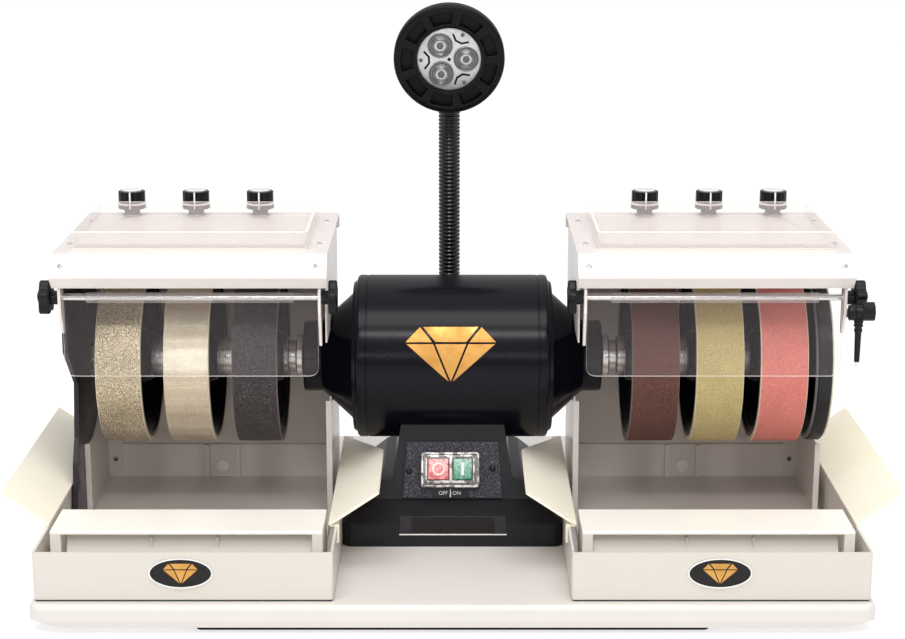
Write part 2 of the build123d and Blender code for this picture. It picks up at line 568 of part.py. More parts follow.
valve_places = [-x for x in reversed(VALVE_X)] + list(VALVE_X)
dial_z = HOOD_TOP + NECK_HEIGHT + FLOAT_GAP
knob_z = dial_z + DIAL_HEIGHT
for number, x in enumerate(valve_places, start=1):
    with BuildPart() as valve_knob:
        with Locations((x, VALVE_Y, dial_z)):
            Cone(NECK_RADIUS, DIAL_RADIUS, DIAL_FLARE, align=(Align.CENTER, Align.CENTER, Align.MIN))
            Cylinder(STEM_RADIUS, 18, align=(Align.CENTER, Align.CENTER, Align.MAX))
        with Locations((x, VALVE_Y, dial_z + DIAL_FLARE)):
            Cone(DIAL_RADIUS, KNOB_RADIUS, DIAL_HEIGHT - DIAL_FLARE, align=(Align.CENTER, Align.CENTER, Align.MIN))
        with BuildSketch(Plane.XY.offset(knob_z)):
            with Locations((x, VALVE_Y)):
                Circle(KNOB_RADIUS)
                with PolarLocations(KNOB_RADIUS + 0.6, 12):
                    Circle(1.9, mode=Mode.SUBTRACT)
        extrude(amount=KNOB_HEIGHT)
        with Locations((x, VALVE_Y, knob_z + KNOB_HEIGHT)):
            Cylinder(CAP_RADIUS, CAP_HEIGHT, align=(Align.CENTER, Align.CENTER, Align.MIN))
    save(valve_knob, f"valve_knob_{number}")

# ---------------------------------------------------------------- drip nozzle
DRIP_Y, DRIP_Z = -116.0, BASE_TOP + 213.0
DRIP_HUB = 6.5
DRIP_PIN = 2.0
DRIP_CLAMP_X = 330.0
with BuildPart() as drip_clamp:
    with BuildSketch(side_plane(DRIP_CLAMP_X)):
        with Locations((DRIP_Y, DRIP_Z)):
            Circle(DRIP_HUB)
            Circle(DRIP_PIN + RUN_CLEARANCE, mode=Mode.SUBTRACT)
    extrude(amount=4.8)
    with BuildSketch(side_plane(BRACKET_OUT + BRACKET_THICK)):
        with BuildLine():
            Polyline((DRIP_Y + 5, DRIP_Z - 4), (-86, DRIP_Z - 12), (-86, DRIP_Z - 6), (DRIP_Y + 5, DRIP_Z + 4),
                     close=True)
        make_face()
    extrude(amount=1.2)
save(drip_clamp, "drip_clamp")

with BuildPart() as drip_nozzle:
    with BuildSketch(side_plane(DRIP_CLAMP_X + 5.2)):
        with Locations((DRIP_Y, DRIP_Z)):
            Circle(DRIP_HUB)
    extrude(amount=5.6)
    with BuildSketch(side_plane(DRIP_CLAMP_X)):
        with Locations((DRIP_Y, DRIP_Z)):
            Circle(DRIP_PIN)
    extrude(amount=5.2)
    nozzle_x = DRIP_CLAMP_X + 8.4
    for top, height, radius in ((-4, 6, 3.4), (-7, 1.6, 3.9), (-10, 1.6, 3.9)):
        with Locations((nozzle_x, DRIP_Y, DRIP_Z + top)):
            Cylinder(radius, height, align=(Align.CENTER, Align.CENTER, Align.MAX))
    with Locations((nozzle_x, DRIP_Y, DRIP_Z - 42)):
        Cone(2.3, 3.0, 33, align=(Align.CENTER, Align.CENTER, Align.MIN))
        Cylinder(1.5, 3, align=(Align.CENTER, Align.CENTER, Align.MAX))
    with Locations((nozzle_x, DRIP_Y, DRIP_Z - 15)):
        Sphere(3.5)
    with BuildSketch(side_plane(340.8)):
        with Locations((DRIP_Y, DRIP_Z + 1)):
            RegularPolygon(8.2, 8)
    extrude(amount=10)
save(drip_nozzle, "drip_nozzle")

# ---------------------------------------------------------------- stone trays
with BuildPart() as stone_tray:
    span((TRAY_IN, TRAY_FRONT, HOOD_TOP + 0.3), (TRAY_OUT, TRAY_BACK, HOOD_TOP + 0.3 + TRAY_HEIGHT))
    span((TRAY_IN + TRAY_WALL, TRAY_FRONT + TRAY_WALL, HOOD_TOP + 0.3 + TRAY_WALL),
         (TRAY_OUT - TRAY_WALL, TRAY_BACK - TRAY_WALL, HOOD_TOP + 1 + TRAY_HEIGHT), mode=Mode.SUBTRACT)
save_pair(stone_tray, "stone_tray")

# ---------------------------------------------------------------- splash pans
PAN_LOW, PAN_TOP = BASE_TOP + PAN_GAP, BASE_TOP + PAN_HEIGHT
RUNNER_LOW, RUNNER_WIDTH = BASE_TOP + 0.3, 10.0
DAM_Y, DAM_TOP = -184.0, BASE_TOP + 43
DAM_FOOT_Y = -205.0            # where the dam's slope meets the pan's floor
DAM_IN, DAM_OUT = 115.0, 315.4
FIN_SPREAD, FIN_REACH, FIN_TALL, FIN_THICK = 27.0, 5.0, 9.0, 1.8
with BuildPart() as splash_pan:
    span((PAN_IN, PAN_FRONT, PAN_LOW), (PAN_OUT, PAN_FLOOR_END, PAN_LOW + 1.7))
    span((PAN_IN, PAN_FRONT, PAN_LOW), (PAN_OUT, PAN_FRONT + PAN_WALL, PAN_TOP))
    span((PAN_OUT - PAN_WALL, PAN_FRONT, PAN_LOW), (PAN_OUT, PAN_BACK, PAN_TOP))
    span((PAN_IN, PAN_FRONT, PAN_LOW), (PAN_IN + PAN_WALL, PAN_BACK, PAN_TOP))
    fillet(splash_pan.edges().filter_by(Axis.Z).group_by(Axis.Y)[0], 2.4)
    for x in (PAN_IN + 14, PAN_OUT - 14 - RUNNER_WIDTH):
        span((x, PAN_FRONT + 16, RUNNER_LOW), (x + RUNNER_WIDTH, PAN_FLOOR_END - 2, PAN_LOW))
    # sloping dam under the arm rest, with two small fins at its top
    with BuildSketch(side_plane(DAM_IN)):
        with BuildLine():
            Polyline((DAM_Y, DAM_TOP), (DAM_FOOT_Y, PAN_LOW + 2), (DAM_FOOT_Y, PAN_LOW), (DAM_FOOT_Y + 3, PAN_LOW),
                     (DAM_Y + 2.5, DAM_TOP), close=True)
        make_face()
    extrude(amount=DAM_OUT - DAM_IN)
    for x in (HOOD_MID - FIN_SPREAD, HOOD_MID + FIN_SPREAD):
        with BuildSketch(side_plane(x - FIN_THICK / 2)):
            with BuildLine():
                Polyline((DAM_Y + 0.5, DAM_TOP - 1), (DAM_Y - FIN_REACH, DAM_TOP - 1),
                         (DAM_Y - FIN_REACH - 1, DAM_TOP - FIN_TALL), (DAM_Y - 4, DAM_TOP - FIN_TALL), close=True)
            make_face()
        extrude(amount=FIN_THICK)
save_pair(splash_pan, "splash_pan")

with BuildPart() as arm_rest:
    span((REST_IN, REST_FRONT, REST_TOP - 2.5), (REST_OUT, REST_BACK, REST_TOP))
    for x in (REST_IN, REST_OUT - REST_LEG):
        span((x, REST_FRONT, PAN_LOW + 2), (x + REST_LEG, REST_BACK, REST_TOP - 2.5))
    fillet(arm_rest.edges().filter_by(Axis.X).group_by(Axis.Z)[-1], 2)
save_pair(arm_rest, "arm_rest")

with BuildPart() as pan_wings:
    rim_out = PAN_OUT - 1.5
    plate([(rim_out, WING_FRONT, WING_RIM), (WING_OUT_X, WING_FRONT, WING_TOP),
           (WING_OUT_X, PAN_BACK, WING_TOP), (rim_out, PAN_BACK, WING_RIM)], WING_THICK)
    span((PAN_OUT - PAN_WALL, WING_FRONT, PAN_TOP), (PAN_OUT + 1.6, PAN_BACK, WING_RIM + 0.8))
    span((PAN_OUT, WING_FRONT, PAN_TOP - 14), (PAN_OUT + 1.6, WING_FRONT + 10, PAN_TOP))
    rim_in = PAN_IN + 6.2
    plate([(rim_in, WING_FRONT, WING_RIM - 1), (rim_in, PAN_BACK, WING_RIM - 1), (WING_IN_X, -43, WING_TOP),
           (WING_IN_X, WING_FRONT, WING_TOP)], WING_THICK)
    span((PAN_IN - 1.6, WING_FRONT, PAN_TOP), (rim_in, PAN_BACK, WING_RIM))
    span((PAN_IN - 1.6, WING_FRONT, PAN_TOP - 14), (PAN_IN, WING_FRONT + 10, PAN_TOP))
save_pair(pan_wings, "pan_wings")

# ---------------------------------------------------------------- small hardware
with BuildPart() as drain_plugs:
    for side in (-1, 1):
        plug = Plane(origin=(side * HOOD_MID, HOOD_BACK - 5, BASE_TOP + 15), x_dir=(1, 0, 0), z_dir=(0, -1, 0))
        with BuildSketch(plug):
            Circle(6.5)
        extrude(amount=3)
save(drain_plugs, "drain_plugs")

NOSE_TILT = atan2(TOP_FRONT - NOSE_FACE[0], HOOD_TOP - NOSE_FACE[1])
with BuildPart() as case_screws:
    for side in (-1, 1):
        for x in (TOP_IN + 9, TOP_OUT - 9):
            nose = Plane(origin=(side * x, (TOP_FRONT + NOSE_FACE[0]) / 2, (HOOD_TOP + NOSE_FACE[1]) / 2),
                         x_dir=(1, 0, 0), z_dir=(0, -cos(NOSE_TILT), sin(NOSE_TILT)))
            with BuildSketch(nose):
                Circle(2.6)
            extrude(amount=1.2)
            with BuildSketch(Plane.XY.offset(HOOD_TOP)):
                with Locations((side * x, -55), (side * x, 48)):
                    Circle(2.6)
            extrude(amount=1.0)
        angle = Plane(origin=(side * (HOOD_OUT - 8), HOOD_BACK - 7, BASE_TOP + 22), x_dir=(1, 0, 0), z_dir=(0, -1, 0))
        with BuildSketch(angle):
            Circle(2.4)
        extrude(amount=1.2)
    with BuildSketch(panel_plane.offset(PANEL_THICK)):
        with Locations((-38, -1), (35, 1)):
            Circle(2.8)
    extrude(amount=1.3)
save(case_screws, "case_screws")

# ---------------------------------------------------------------- lamp
BALL_GAP = 0.3                 # between a neck ball and its socket
SOCKET_CUT = 5.0               # a lower segment stops this far under the joint
SOCKET_TOP = BASE_TOP + 30.0
with BuildPart() as lamp_socket:
    with Locations((LAMP_X, LAMP_Y, BASE_TOP)):
        Cylinder(14, 5, align=(Align.CENTER, Align.CENTER, Align.MIN))
        Cylinder(12, SOCKET_TOP - BASE_TOP, align=(Align.CENTER, Align.CENTER, Align.MIN))
save(lamp_socket, "lamp_socket")

EYE_HALF = 5.0
EYE_RADIUS = 8.5
PIN_RADIUS = 3.0
neck_ends = (SOCKET_TOP,) + NECK_JOINTS + (HEAD_Z - 6,)
for number, (low, high) in enumerate(zip(neck_ends[:-1], neck_ends[1:]), start=1):
    last = number == len(neck_ends) - 1
    with BuildPart() as gooseneck:
        with Locations((LAMP_X, LAMP_Y, low)):
            Cylinder(LAMP_RADIUS, (high if last else high - SOCKET_CUT) - low,
                     align=(Align.CENTER, Align.CENTER, Align.MIN))
            if number > 1:
                Sphere(LAMP_RADIUS)
        if last:
            with BuildSketch(side_plane(LAMP_X - EYE_HALF)):
                with Locations((LAMP_Y, HEAD_Z)):
                    Circle(EYE_RADIUS)
            extrude(amount=2 * EYE_HALF)
            span((LAMP_X - 20, LAMP_Y - 20, HEAD_Z - 11), (LAMP_X - EYE_HALF, LAMP_Y + 20, HEAD_Z),
                 mode=Mode.SUBTRACT)
            span((LAMP_X + EYE_HALF, LAMP_Y - 20, HEAD_Z - 11), (LAMP_X + 20, LAMP_Y + 20, HEAD_Z),
                 mode=Mode.SUBTRACT)
            with BuildSketch(side_plane(LAMP_X - EYE_HALF)):
                with Locations((LAMP_Y, HEAD_Z)):
                    Circle(PIN_RADIUS + RUN_CLEARANCE)
            extrude(amount=2 * EYE_HALF, mode=Mode.SUBTRACT)
        else:
            with Locations((LAMP_X, LAMP_Y, high)):
                Sphere(LAMP_RADIUS + BALL_GAP, mode=Mode.SUBTRACT)
    save(gooseneck, f"gooseneck_{number}")

tilt = radians(HEAD_TILT)
HEAD_BACK = 20.0               # from the tilt pin to the back of the lamp head
HEAD_DEPTH = 32.0
RING_DEPTH = 14.0              # the wide front ring
BACK_RADIUS, BODY_RADIUS = 19.0, 36.0
BACK_TAPER = 13.0
head_plane = Plane(
    origin=(LAMP_X, LAMP_Y - HEAD_BACK * cos(tilt), HEAD_Z - HEAD_BACK * sin(tilt)),
    x_dir=(1, 0, 0),
    z_dir=(0, -cos(tilt), -sin(tilt)),
)
with BuildPart() as lamp_housing:
    with BuildSketch(head_plane):
        Circle(BACK_RADIUS)
    with BuildSketch(head_plane.offset(BACK_TAPER)):
        Circle(BODY_RADIUS)
    loft()
    with BuildSketch(head_plane.offset(BACK_TAPER)):
        Circle(BODY_RADIUS)
    extrude(amount=HEAD_DEPTH - RING_DEPTH - BACK_TAPER)
    with BuildSketch(head_plane.offset(HEAD_DEPTH - RING_DEPTH)):
        Circle(HEAD_RADIUS)
    extrude(amount=RING_DEPTH)
    fillet(lamp_housing.edges().filter_by(GeomType.CIRCLE).sort_by(Axis.Y)[0], 4)
    with BuildSketch(head_plane.offset(HEAD_DEPTH)):
        Circle(29)
    extrude(amount=-5, mode=Mode.SUBTRACT)
    for start in (-EYE_HALF - FLOAT_GAP - 4, EYE_HALF + FLOAT_GAP):
        with BuildSketch(side_plane(LAMP_X + start)):
            with Locations((LAMP_Y, HEAD_Z)):
                Circle(EYE_RADIUS)
            with BuildLine():
                Polyline((LAMP_Y, HEAD_Z - 8), (LAMP_Y, HEAD_Z + 8), (LAMP_Y - 21, HEAD_Z + 5),
                         (LAMP_Y - 21, HEAD_Z - 9), close=True)
            make_face()
        extrude(amount=4)
    with BuildSketch(side_plane(LAMP_X - EYE_HALF - 2)):
        with Locations((LAMP_Y, HEAD_Z)):
            Circle(PIN_RADIUS)
    extrude(amount=2 * EYE_HALF + 4)
save(lamp_housing, "lamp_housing")
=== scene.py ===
"""Looks of the cabbing machine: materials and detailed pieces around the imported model."""

import json
from math import atan2, cos, pi, radians, sin, tau

import bmesh
import bpy
from mathutils import Matrix, Vector


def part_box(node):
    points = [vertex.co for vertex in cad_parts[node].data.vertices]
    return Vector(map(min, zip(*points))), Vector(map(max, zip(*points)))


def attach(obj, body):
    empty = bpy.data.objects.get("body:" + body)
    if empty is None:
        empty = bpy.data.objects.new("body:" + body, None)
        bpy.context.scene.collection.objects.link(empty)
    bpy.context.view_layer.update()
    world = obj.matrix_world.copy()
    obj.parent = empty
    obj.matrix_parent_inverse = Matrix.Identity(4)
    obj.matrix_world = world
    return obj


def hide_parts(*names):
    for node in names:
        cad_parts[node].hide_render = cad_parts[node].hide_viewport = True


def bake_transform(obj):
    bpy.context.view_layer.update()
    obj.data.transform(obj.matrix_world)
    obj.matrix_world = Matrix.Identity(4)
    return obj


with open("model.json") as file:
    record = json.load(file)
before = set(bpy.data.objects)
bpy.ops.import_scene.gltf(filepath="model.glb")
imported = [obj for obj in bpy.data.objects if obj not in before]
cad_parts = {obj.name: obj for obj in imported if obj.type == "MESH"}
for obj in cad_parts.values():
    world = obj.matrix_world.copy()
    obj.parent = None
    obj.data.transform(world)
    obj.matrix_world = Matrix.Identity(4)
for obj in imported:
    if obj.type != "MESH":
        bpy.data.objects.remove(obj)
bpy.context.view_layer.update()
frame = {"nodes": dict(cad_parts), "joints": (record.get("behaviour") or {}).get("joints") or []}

MM = 0.001
X_AXIS, Z_AXIS, FRONTWARD = (1, 0, 0), (0, 0, 1), (0, -1, 0)
joints = {j["name"]: j for j in frame["joints"]}
nodes = frame["nodes"]

# ------------------------------------------------------------------ places taken from the frame
BASE_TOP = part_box("base_plate")[1].z
SHAFT_Z = joints["spindle_spin"]["pos_m"][2]
ROD_Y, ROD_Z = joints["flap_swing_right"]["pos_m"][1:]
MOTOR_LOW, MOTOR_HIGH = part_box("motor_shell")
MOTOR_RADIUS = (MOTOR_HIGH.z - MOTOR_LOW.z) / 2
DRUM_SET_IN = 1.2 * MM  # the drum's rounded ends stay this far inside the shell's
MOTOR_HALF = MOTOR_HIGH.x - DRUM_SET_IN
LAMP_PIN = Vector(joints["lamp_tilt"]["pos_m"])
SIDES = {"left": -1, "right": 1}


# ------------------------------------------------------------------ mesh helpers
def piece(name, verts, faces, materials, smooth=35):
    """A mesh object from plain lists, shaded smooth up to an angle in degrees."""
    mesh = bpy.data.meshes.new(name)
    mesh.from_pydata([tuple(v) for v in verts], [], faces)
    obj = bpy.data.objects.new(name, mesh)
    bpy.context.scene.collection.objects.link(obj)
    for material in materials if isinstance(materials, (list, tuple)) else [materials]:
        mesh.materials.append(material)
    tidy(mesh, smooth)
    return obj


def tidy(mesh, smooth=35):
    """Point every face outwards and set the shading."""
    bm = bmesh.new()
    bm.from_mesh(mesh)
    bmesh.ops.remove_doubles(bm, verts=bm.verts, dist=1e-7)
    bmesh.ops.recalc_face_normals(bm, faces=bm.faces)
    bm.to_mesh(mesh)
    bm.free()
    mesh.shade_smooth()
    mesh.set_sharp_from_angle(angle=radians(smooth))


def lathe(name, profile, origin, axis, material, segments=96, smooth=35, closed=False):
    """Turn an (along, radius) profile about an axis through origin."""
    axis = Vector(axis).normalized()
    side = axis.orthogonal().normalized()
    other = axis.cross(side)
    origin = Vector(origin)
    verts, faces, rings = [], [], []
    for along, radius in profile:
        if radius < 1e-6:
            rings.append([len(verts)])
            verts.append(origin + axis * along)
            continue
        rings.append(list(range(len(verts), len(verts) + segments)))
        for i in range(segments):
            a = tau * i / segments
            verts.append(origin + axis * along + (side * cos(a) + other * sin(a)) * radius)
    pairs = list(zip(rings[:-1], rings[1:])) + ([(rings[-1], rings[0])] if closed else [])
    for a, b in pairs:
        for i in range(segments):
            j = (i + 1) % segments
            if len(a) == 1 and len(b) == 1:
                break
            if len(a) == 1:
                faces.append((a[0], b[i], b[j]))
            elif len(b) == 1:
                faces.append((a[i], b[0], a[j]))
            else:
                faces.append((a[i], b[i], b[j], a[j]))
    return piece(name, verts, faces, material, smooth)


def round_corners(points, radius, steps=4):
    """Round the corners of a closed 2D outline; radius is one number or one per corner."""
    count = len(points)
    radii = radius if isinstance(radius, (list, tuple)) else [radius] * count
    out = []
    for i, p in enumerate(points):
        here = Vector(p)
        before = Vector(points[i - 1]) - here
        after = Vector(points[(i + 1) % count]) - here
        cut = min(radii[i], before.length * 0.49, after.length * 0.49)
        if cut <= 0:
            out.append(here)
            continue
        start, end = here + before.normalized() * cut, here + after.normalized() * cut
        for k in range(steps + 1):
            t = k / steps
            out.append(start * (1 - t) ** 2 + here * 2 * t * (1 - t) + end * t ** 2)
    return out


def prism(name, outline, matrix, depth, materials, bevel_width=0.0, smooth=35):
    """Extrude a closed 2D outline along local z of matrix."""
    count = len(outline)
    verts = [matrix @ Vector((p[0], p[1], 0)) for p in outline]
    verts += [matrix @ Vector((p[0], p[1], depth)) for p in outline]
    faces = [tuple(range(count)), tuple(range(2 * count - 1, count - 1, -1))]
    faces += [(i, i + count, (i + 1) % count + count, (i + 1) % count) for i in range(count)]
    obj = piece(name, verts, faces, materials, smooth)
    if bevel_width:
        bevel(obj, bevel_width)
    return obj


def rectangle(low, high, inset=0.0):
    """Corners of the flat box between two points."""
    x0, y0, x1, y1 = low[0] + inset, low[1] + inset, high[0] - inset, high[1] - inset
    return [(x0, y0), (x1, y0), (x1, y1), (x0, y1)]


def block(name, low, high, materials, bevel_width=0.0):
    """A box between two corners."""
    place = Matrix.Translation((0, 0, low[2]))
    return prism(name, rectangle(low, high), place, high[2] - low[2], materials, bevel_width)


def joined(n, rows, closed=False):
    """Faces between rows of n points, and from the last row to the first when closed."""
    pairs = [(k * n, (k + 1) % rows * n) for k in range(rows if closed else rows - 1)]
    return [(a + i, b + i, b + (i + 1) % n, a + (i + 1) % n) for a, b in pairs for i in range(n)]


def bevel(obj, width, segments=3, angle=30, weld=False):
    """Round the edges of an object with modifiers, leaving its mesh as it is."""
    if weld:
        welder = obj.modifiers.new("weld", "WELD")
        welder.merge_threshold = 1e-5
    rounder = obj.modifiers.new("edges", "BEVEL")
    rounder.width = width
    rounder.segments = segments
    rounder.limit_method = "ANGLE"
    rounder.angle_limit = radians(angle)
    rounder.harden_normals = True
    return obj


def frame_matrix(origin, right, up):
    """Matrix whose x, y and z axes are right, up and their cross product."""
    right, up = Vector(right).normalized(), Vector(up).normalized()
    out = right.cross(up)
    rows = [[right[i], up[i], out[i], origin[i]] for i in range(3)] + [[0, 0, 0, 1]]
    return Matrix(rows)


def across(x):
    """Plane across the shaft at x: local x is Y, local y is Z, local z is +X."""
    return frame_matrix((x, 0, 0), (0, 1, 0), Z_AXIS)


def facing(y):
    """Plane facing the front at y: local x is X, local y is Z, local z is -Y."""
    return frame_matrix((0, y, 0), X_AXIS, Z_AXIS)


def oval(half_width, half_height, count=48):
    """Points round an ellipse about the middle."""
    return [(half_width * cos(tau * i / count), half_height * sin(tau * i / count)) for i in range(count)]


def mm(points):
    """Points given in millimetres, in metres."""
    return [(a * MM, b * MM) for a, b in points]


def on(obj, body, slot, *replaced):
    """Ride on a body and stand for CAD nodes; slot is not used."""
    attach(obj, body)
    if replaced:
        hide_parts(*replaced)
    return obj


# ------------------------------------------------------------------ materials
def linear(display):
    """Linear colour from 0-255 display values."""
    return tuple(((c / 255 + 0.055) / 1.055) ** 2.4 if c > 10 else c / 255 / 12.92 for c in display)


class Shader:
    """Small builder for a Principled material in object coordinates, from 0-255 display colours."""

    def __init__(self, name, display, rough=0.5, metal=0.0):
        self.material = bpy.data.materials.new(name)
        self.material.use_nodes = True
        self.tree = self.material.node_tree
        self.base = self.tree.nodes["Principled BSDF"]
        self.colour = linear(display)
        self.base.inputs["Base Color"].default_value = (*self.colour, 1)
        self.base.inputs["Roughness"].default_value = rough
        self.base.inputs["Metallic"].default_value = metal
        self.coords = self.tree.nodes.new("ShaderNodeTexCoord").outputs["Object"]
        self.last_colour = None
        self.last_bump = None

    def set(self, **values):
        for key, value in values.items():
            self.base.inputs[key.replace("_", " ")].default_value = value
        return self

    def node(self, kind, **values):
        made = self.tree.nodes.new(kind)
        for key, value in values.items():
            if key in made.inputs:
                made.inputs[key].default_value = value
            else:
                setattr(made, key, value)
        return made

    def link(self, a, b):
        self.tree.links.new(a, b)

    def stretched(self, scale):
        mapping = self.node("ShaderNodeMapping")
        mapping.inputs["Scale"].default_value = scale
        self.link(self.coords, mapping.inputs["Vector"])
        return mapping.outputs["Vector"]

    def noise(self, scale, detail=4.0, vector=None):
        noise = self.node("ShaderNodeTexNoise", Scale=scale, Detail=detail, Roughness=0.6)
        self.link(vector or self.coords, noise.inputs["Vector"])
        return noise.outputs["Fac"]

    def cells(self, scale):
        """Distance from the middle of each grain, for grit."""
        cells = self.node("ShaderNodeTexVoronoi", Scale=scale)
        self.link(self.coords, cells.inputs["Vector"])
        return cells.outputs["Distance"]

    def ramp(self, value, low, high, start=0.0, end=1.0):
        """Map a value between low and high on to start..end."""
        mapped = self.node("ShaderNodeMapRange")
        for key, number in (("From Min", low), ("From Max", high), ("To Min", start), ("To Max", end)):
            mapped.inputs[key].default_value = number
        self.link(value, mapped.inputs["Value"])
        return mapped.outputs["Result"]

    def shaded(self, share):
        """The base colour with a share of its brightness."""
        return tuple(c * share for c in self.colour)

    def tint(self, factor, colour):
        """Mix another linear colour over the base colour."""
        mix = self.node("ShaderNodeMix", data_type="RGBA")
        ins = [s for s in mix.inputs if s.type == "RGBA"]
        ins[0].default_value = (*self.colour, 1)
        ins[1].default_value = (*colour, 1)
        if self.last_colour:
            self.link(self.last_colour, ins[0])
        self.link(factor, mix.inputs["Factor"])
        self.last_colour = [s for s in mix.outputs if s.type == "RGBA"][0]
        self.link(self.last_colour, self.base.inputs["Base Color"])
        return self

    def roughen(self, value, low, high):
        self.link(self.ramp(value, 0.3, 0.7, low, high), self.base.inputs["Roughness"])
        return self

    def bump(self, value, height, strength=1.0):
        """Add surface relief; height is in metres."""
        made = self.node("ShaderNodeBump", Strength=strength, Distance=height)
        self.link(value, made.inputs["Height"])
        if self.last_bump:
            self.link(self.last_bump, made.inputs["Normal"])
        self.last_bump = made.outputs["Normal"]
        self.link(self.last_bump, self.base.inputs["Normal"])
        return self


def moulded(name, colour, rough=0.42, shade=0.93, shine=0.5):
    """Smooth moulded plastic: faint flow marks, a soft grain and uneven gloss."""
    s = Shader(name, colour, rough).set(Specular_IOR_Level=shine)
    s.tint(s.ramp(s.noise(9, 3), 0.35, 0.7), s.shaded(shade))
    s.roughen(s.noise(14, 3), rough - 0.05, rough + 0.05)
    s.bump(s.noise(120, 2), 0.00004, 0.35)
    return s.material


def painted(name, colour, rough=0.35, grain=120, height=0.00004, shade=0.9, shine=0.5):
    """Sprayed metal, with a slight orange peel where height isn't 0."""
    s = Shader(name, colour, rough).set(Specular_IOR_Level=shine)
    s.tint(s.ramp(s.noise(14, 4), 0.35, 0.75), s.shaded(shade))
    s.roughen(s.noise(12, 3), rough - 0.02, rough + 0.03)
    if height:
        s.bump(s.noise(grain, 2), height, 0.35)
    return s.material


def metal(name, colour, rough=0.2, lines=None):
    """Bare metal; lines is the scale of turning or brushing marks along x, y and z."""
    s = Shader(name, colour, rough, 1.0)
    vector = s.stretched(lines) if lines else None
    s.roughen(s.noise(1.0 if lines else 80, 4, vector), rough * 0.7, rough * 1.4)
    s.bump(s.noise(1.0 if lines else 700, 3, vector), 0.00004, 0.5)
    s.tint(s.ramp(s.noise(30, 3), 0.4, 0.8), s.shaded(0.85))
    return s.material


def clear(name, colour, alpha, rough=0.04, edge=None):
    """Clear acrylic seen as a thin bright film; edge is its opacity where it turns away from the eye, which
    paints a bright reflection along its outline.
    """
    s = Shader(name, colour, rough)
    s.set(Alpha=alpha, IOR=1.49)
    s.roughen(s.noise(25, 3), rough, rough + 0.05)
    s.bump(s.noise(18, 2), 0.0002, 0.15)
    if edge:
        # painted reflection: the bright film grows more opaque where the surface turns away from the eye
        facing_away = s.node("ShaderNodeLayerWeight", Blend=0.5).outputs["Facing"]
        s.link(s.ramp(facing_away, 0.45, 0.85, alpha, edge), s.base.inputs["Alpha"])
    return s.material


def painted_glints(name, colour, painted_glint_colour, grain, alpha=1.0, rough=0.08, painted_glint_share=0.8):
    """Glossy plastic with uneven bright and dark reflections painted into its colour as noise patches."""
    s = Shader(name, colour, rough).set(Alpha=alpha, Coat_Weight=0.6, Coat_Roughness=0.05)
    # painted reflections: noise patches of the second colour stand in for glints and dark reflections
    s.tint(s.ramp(s.noise(grain, 2), 0.47, 0.56, 0.0, painted_glint_share), linear(painted_glint_colour))
    s.roughen(s.noise(90, 3), rough, rough + 0.08)
    s.bump(s.noise(grain, 2), 0.0006, 0.5)
    return s.material


def abrasive(name, colour, dark, light, grain, rough, metallic=0.0, streaks=0.0):
    """A grinding band: packed grit with dark gaps, bright grains, and light and dark streaks round it that
    are partly turning marks and partly painted highlight and shade bands.
    """
    s = Shader(name, colour, rough, metallic).set(Specular_IOR_Level=0.25)
    dark, light = linear(dark), linear(light)
    grit = s.cells(grain)
    patches = s.noise(28, 5)
    s.tint(s.ramp(patches, 0.42, 0.72), s.shaded(0.8))
    s.tint(s.ramp(s.noise(grain * 0.8, 3), 0.5, 0.6, 0.0, 0.85), dark)
    s.tint(s.ramp(s.noise(grain, 3), 0.54, 0.62), light)
    if streaks:
        # partly painted light: bands that stay the same across the band stand in for reflected highlight and
        # shade, besides faint turning marks
        streaks_and_painted_sheen = s.noise(1.0, 3, s.stretched((streaks, 60, 60)))
        s.tint(s.ramp(streaks_and_painted_sheen, 0.5, 0.62, 0.0, 0.5), light)
        s.tint(s.ramp(streaks_and_painted_sheen, 0.5, 0.38, 0.0, 0.45), dark)
    s.bump(grit, 0.00035, 0.6)
    s.roughen(s.noise(grain, 2), rough - 0.15, rough + 0.15)
    return s.material


def hammered(name, colour):
    """Black hammertone paint with grey flecks."""
    s = Shader(name, colour, 0.4).set(Specular_IOR_Level=0.3)
    s.tint(s.ramp(s.noise(900, 4), 0.5, 0.66), linear((104, 100, 112)))
    s.bump(s.cells(620), 0.0004, 0.8)
    return s.material


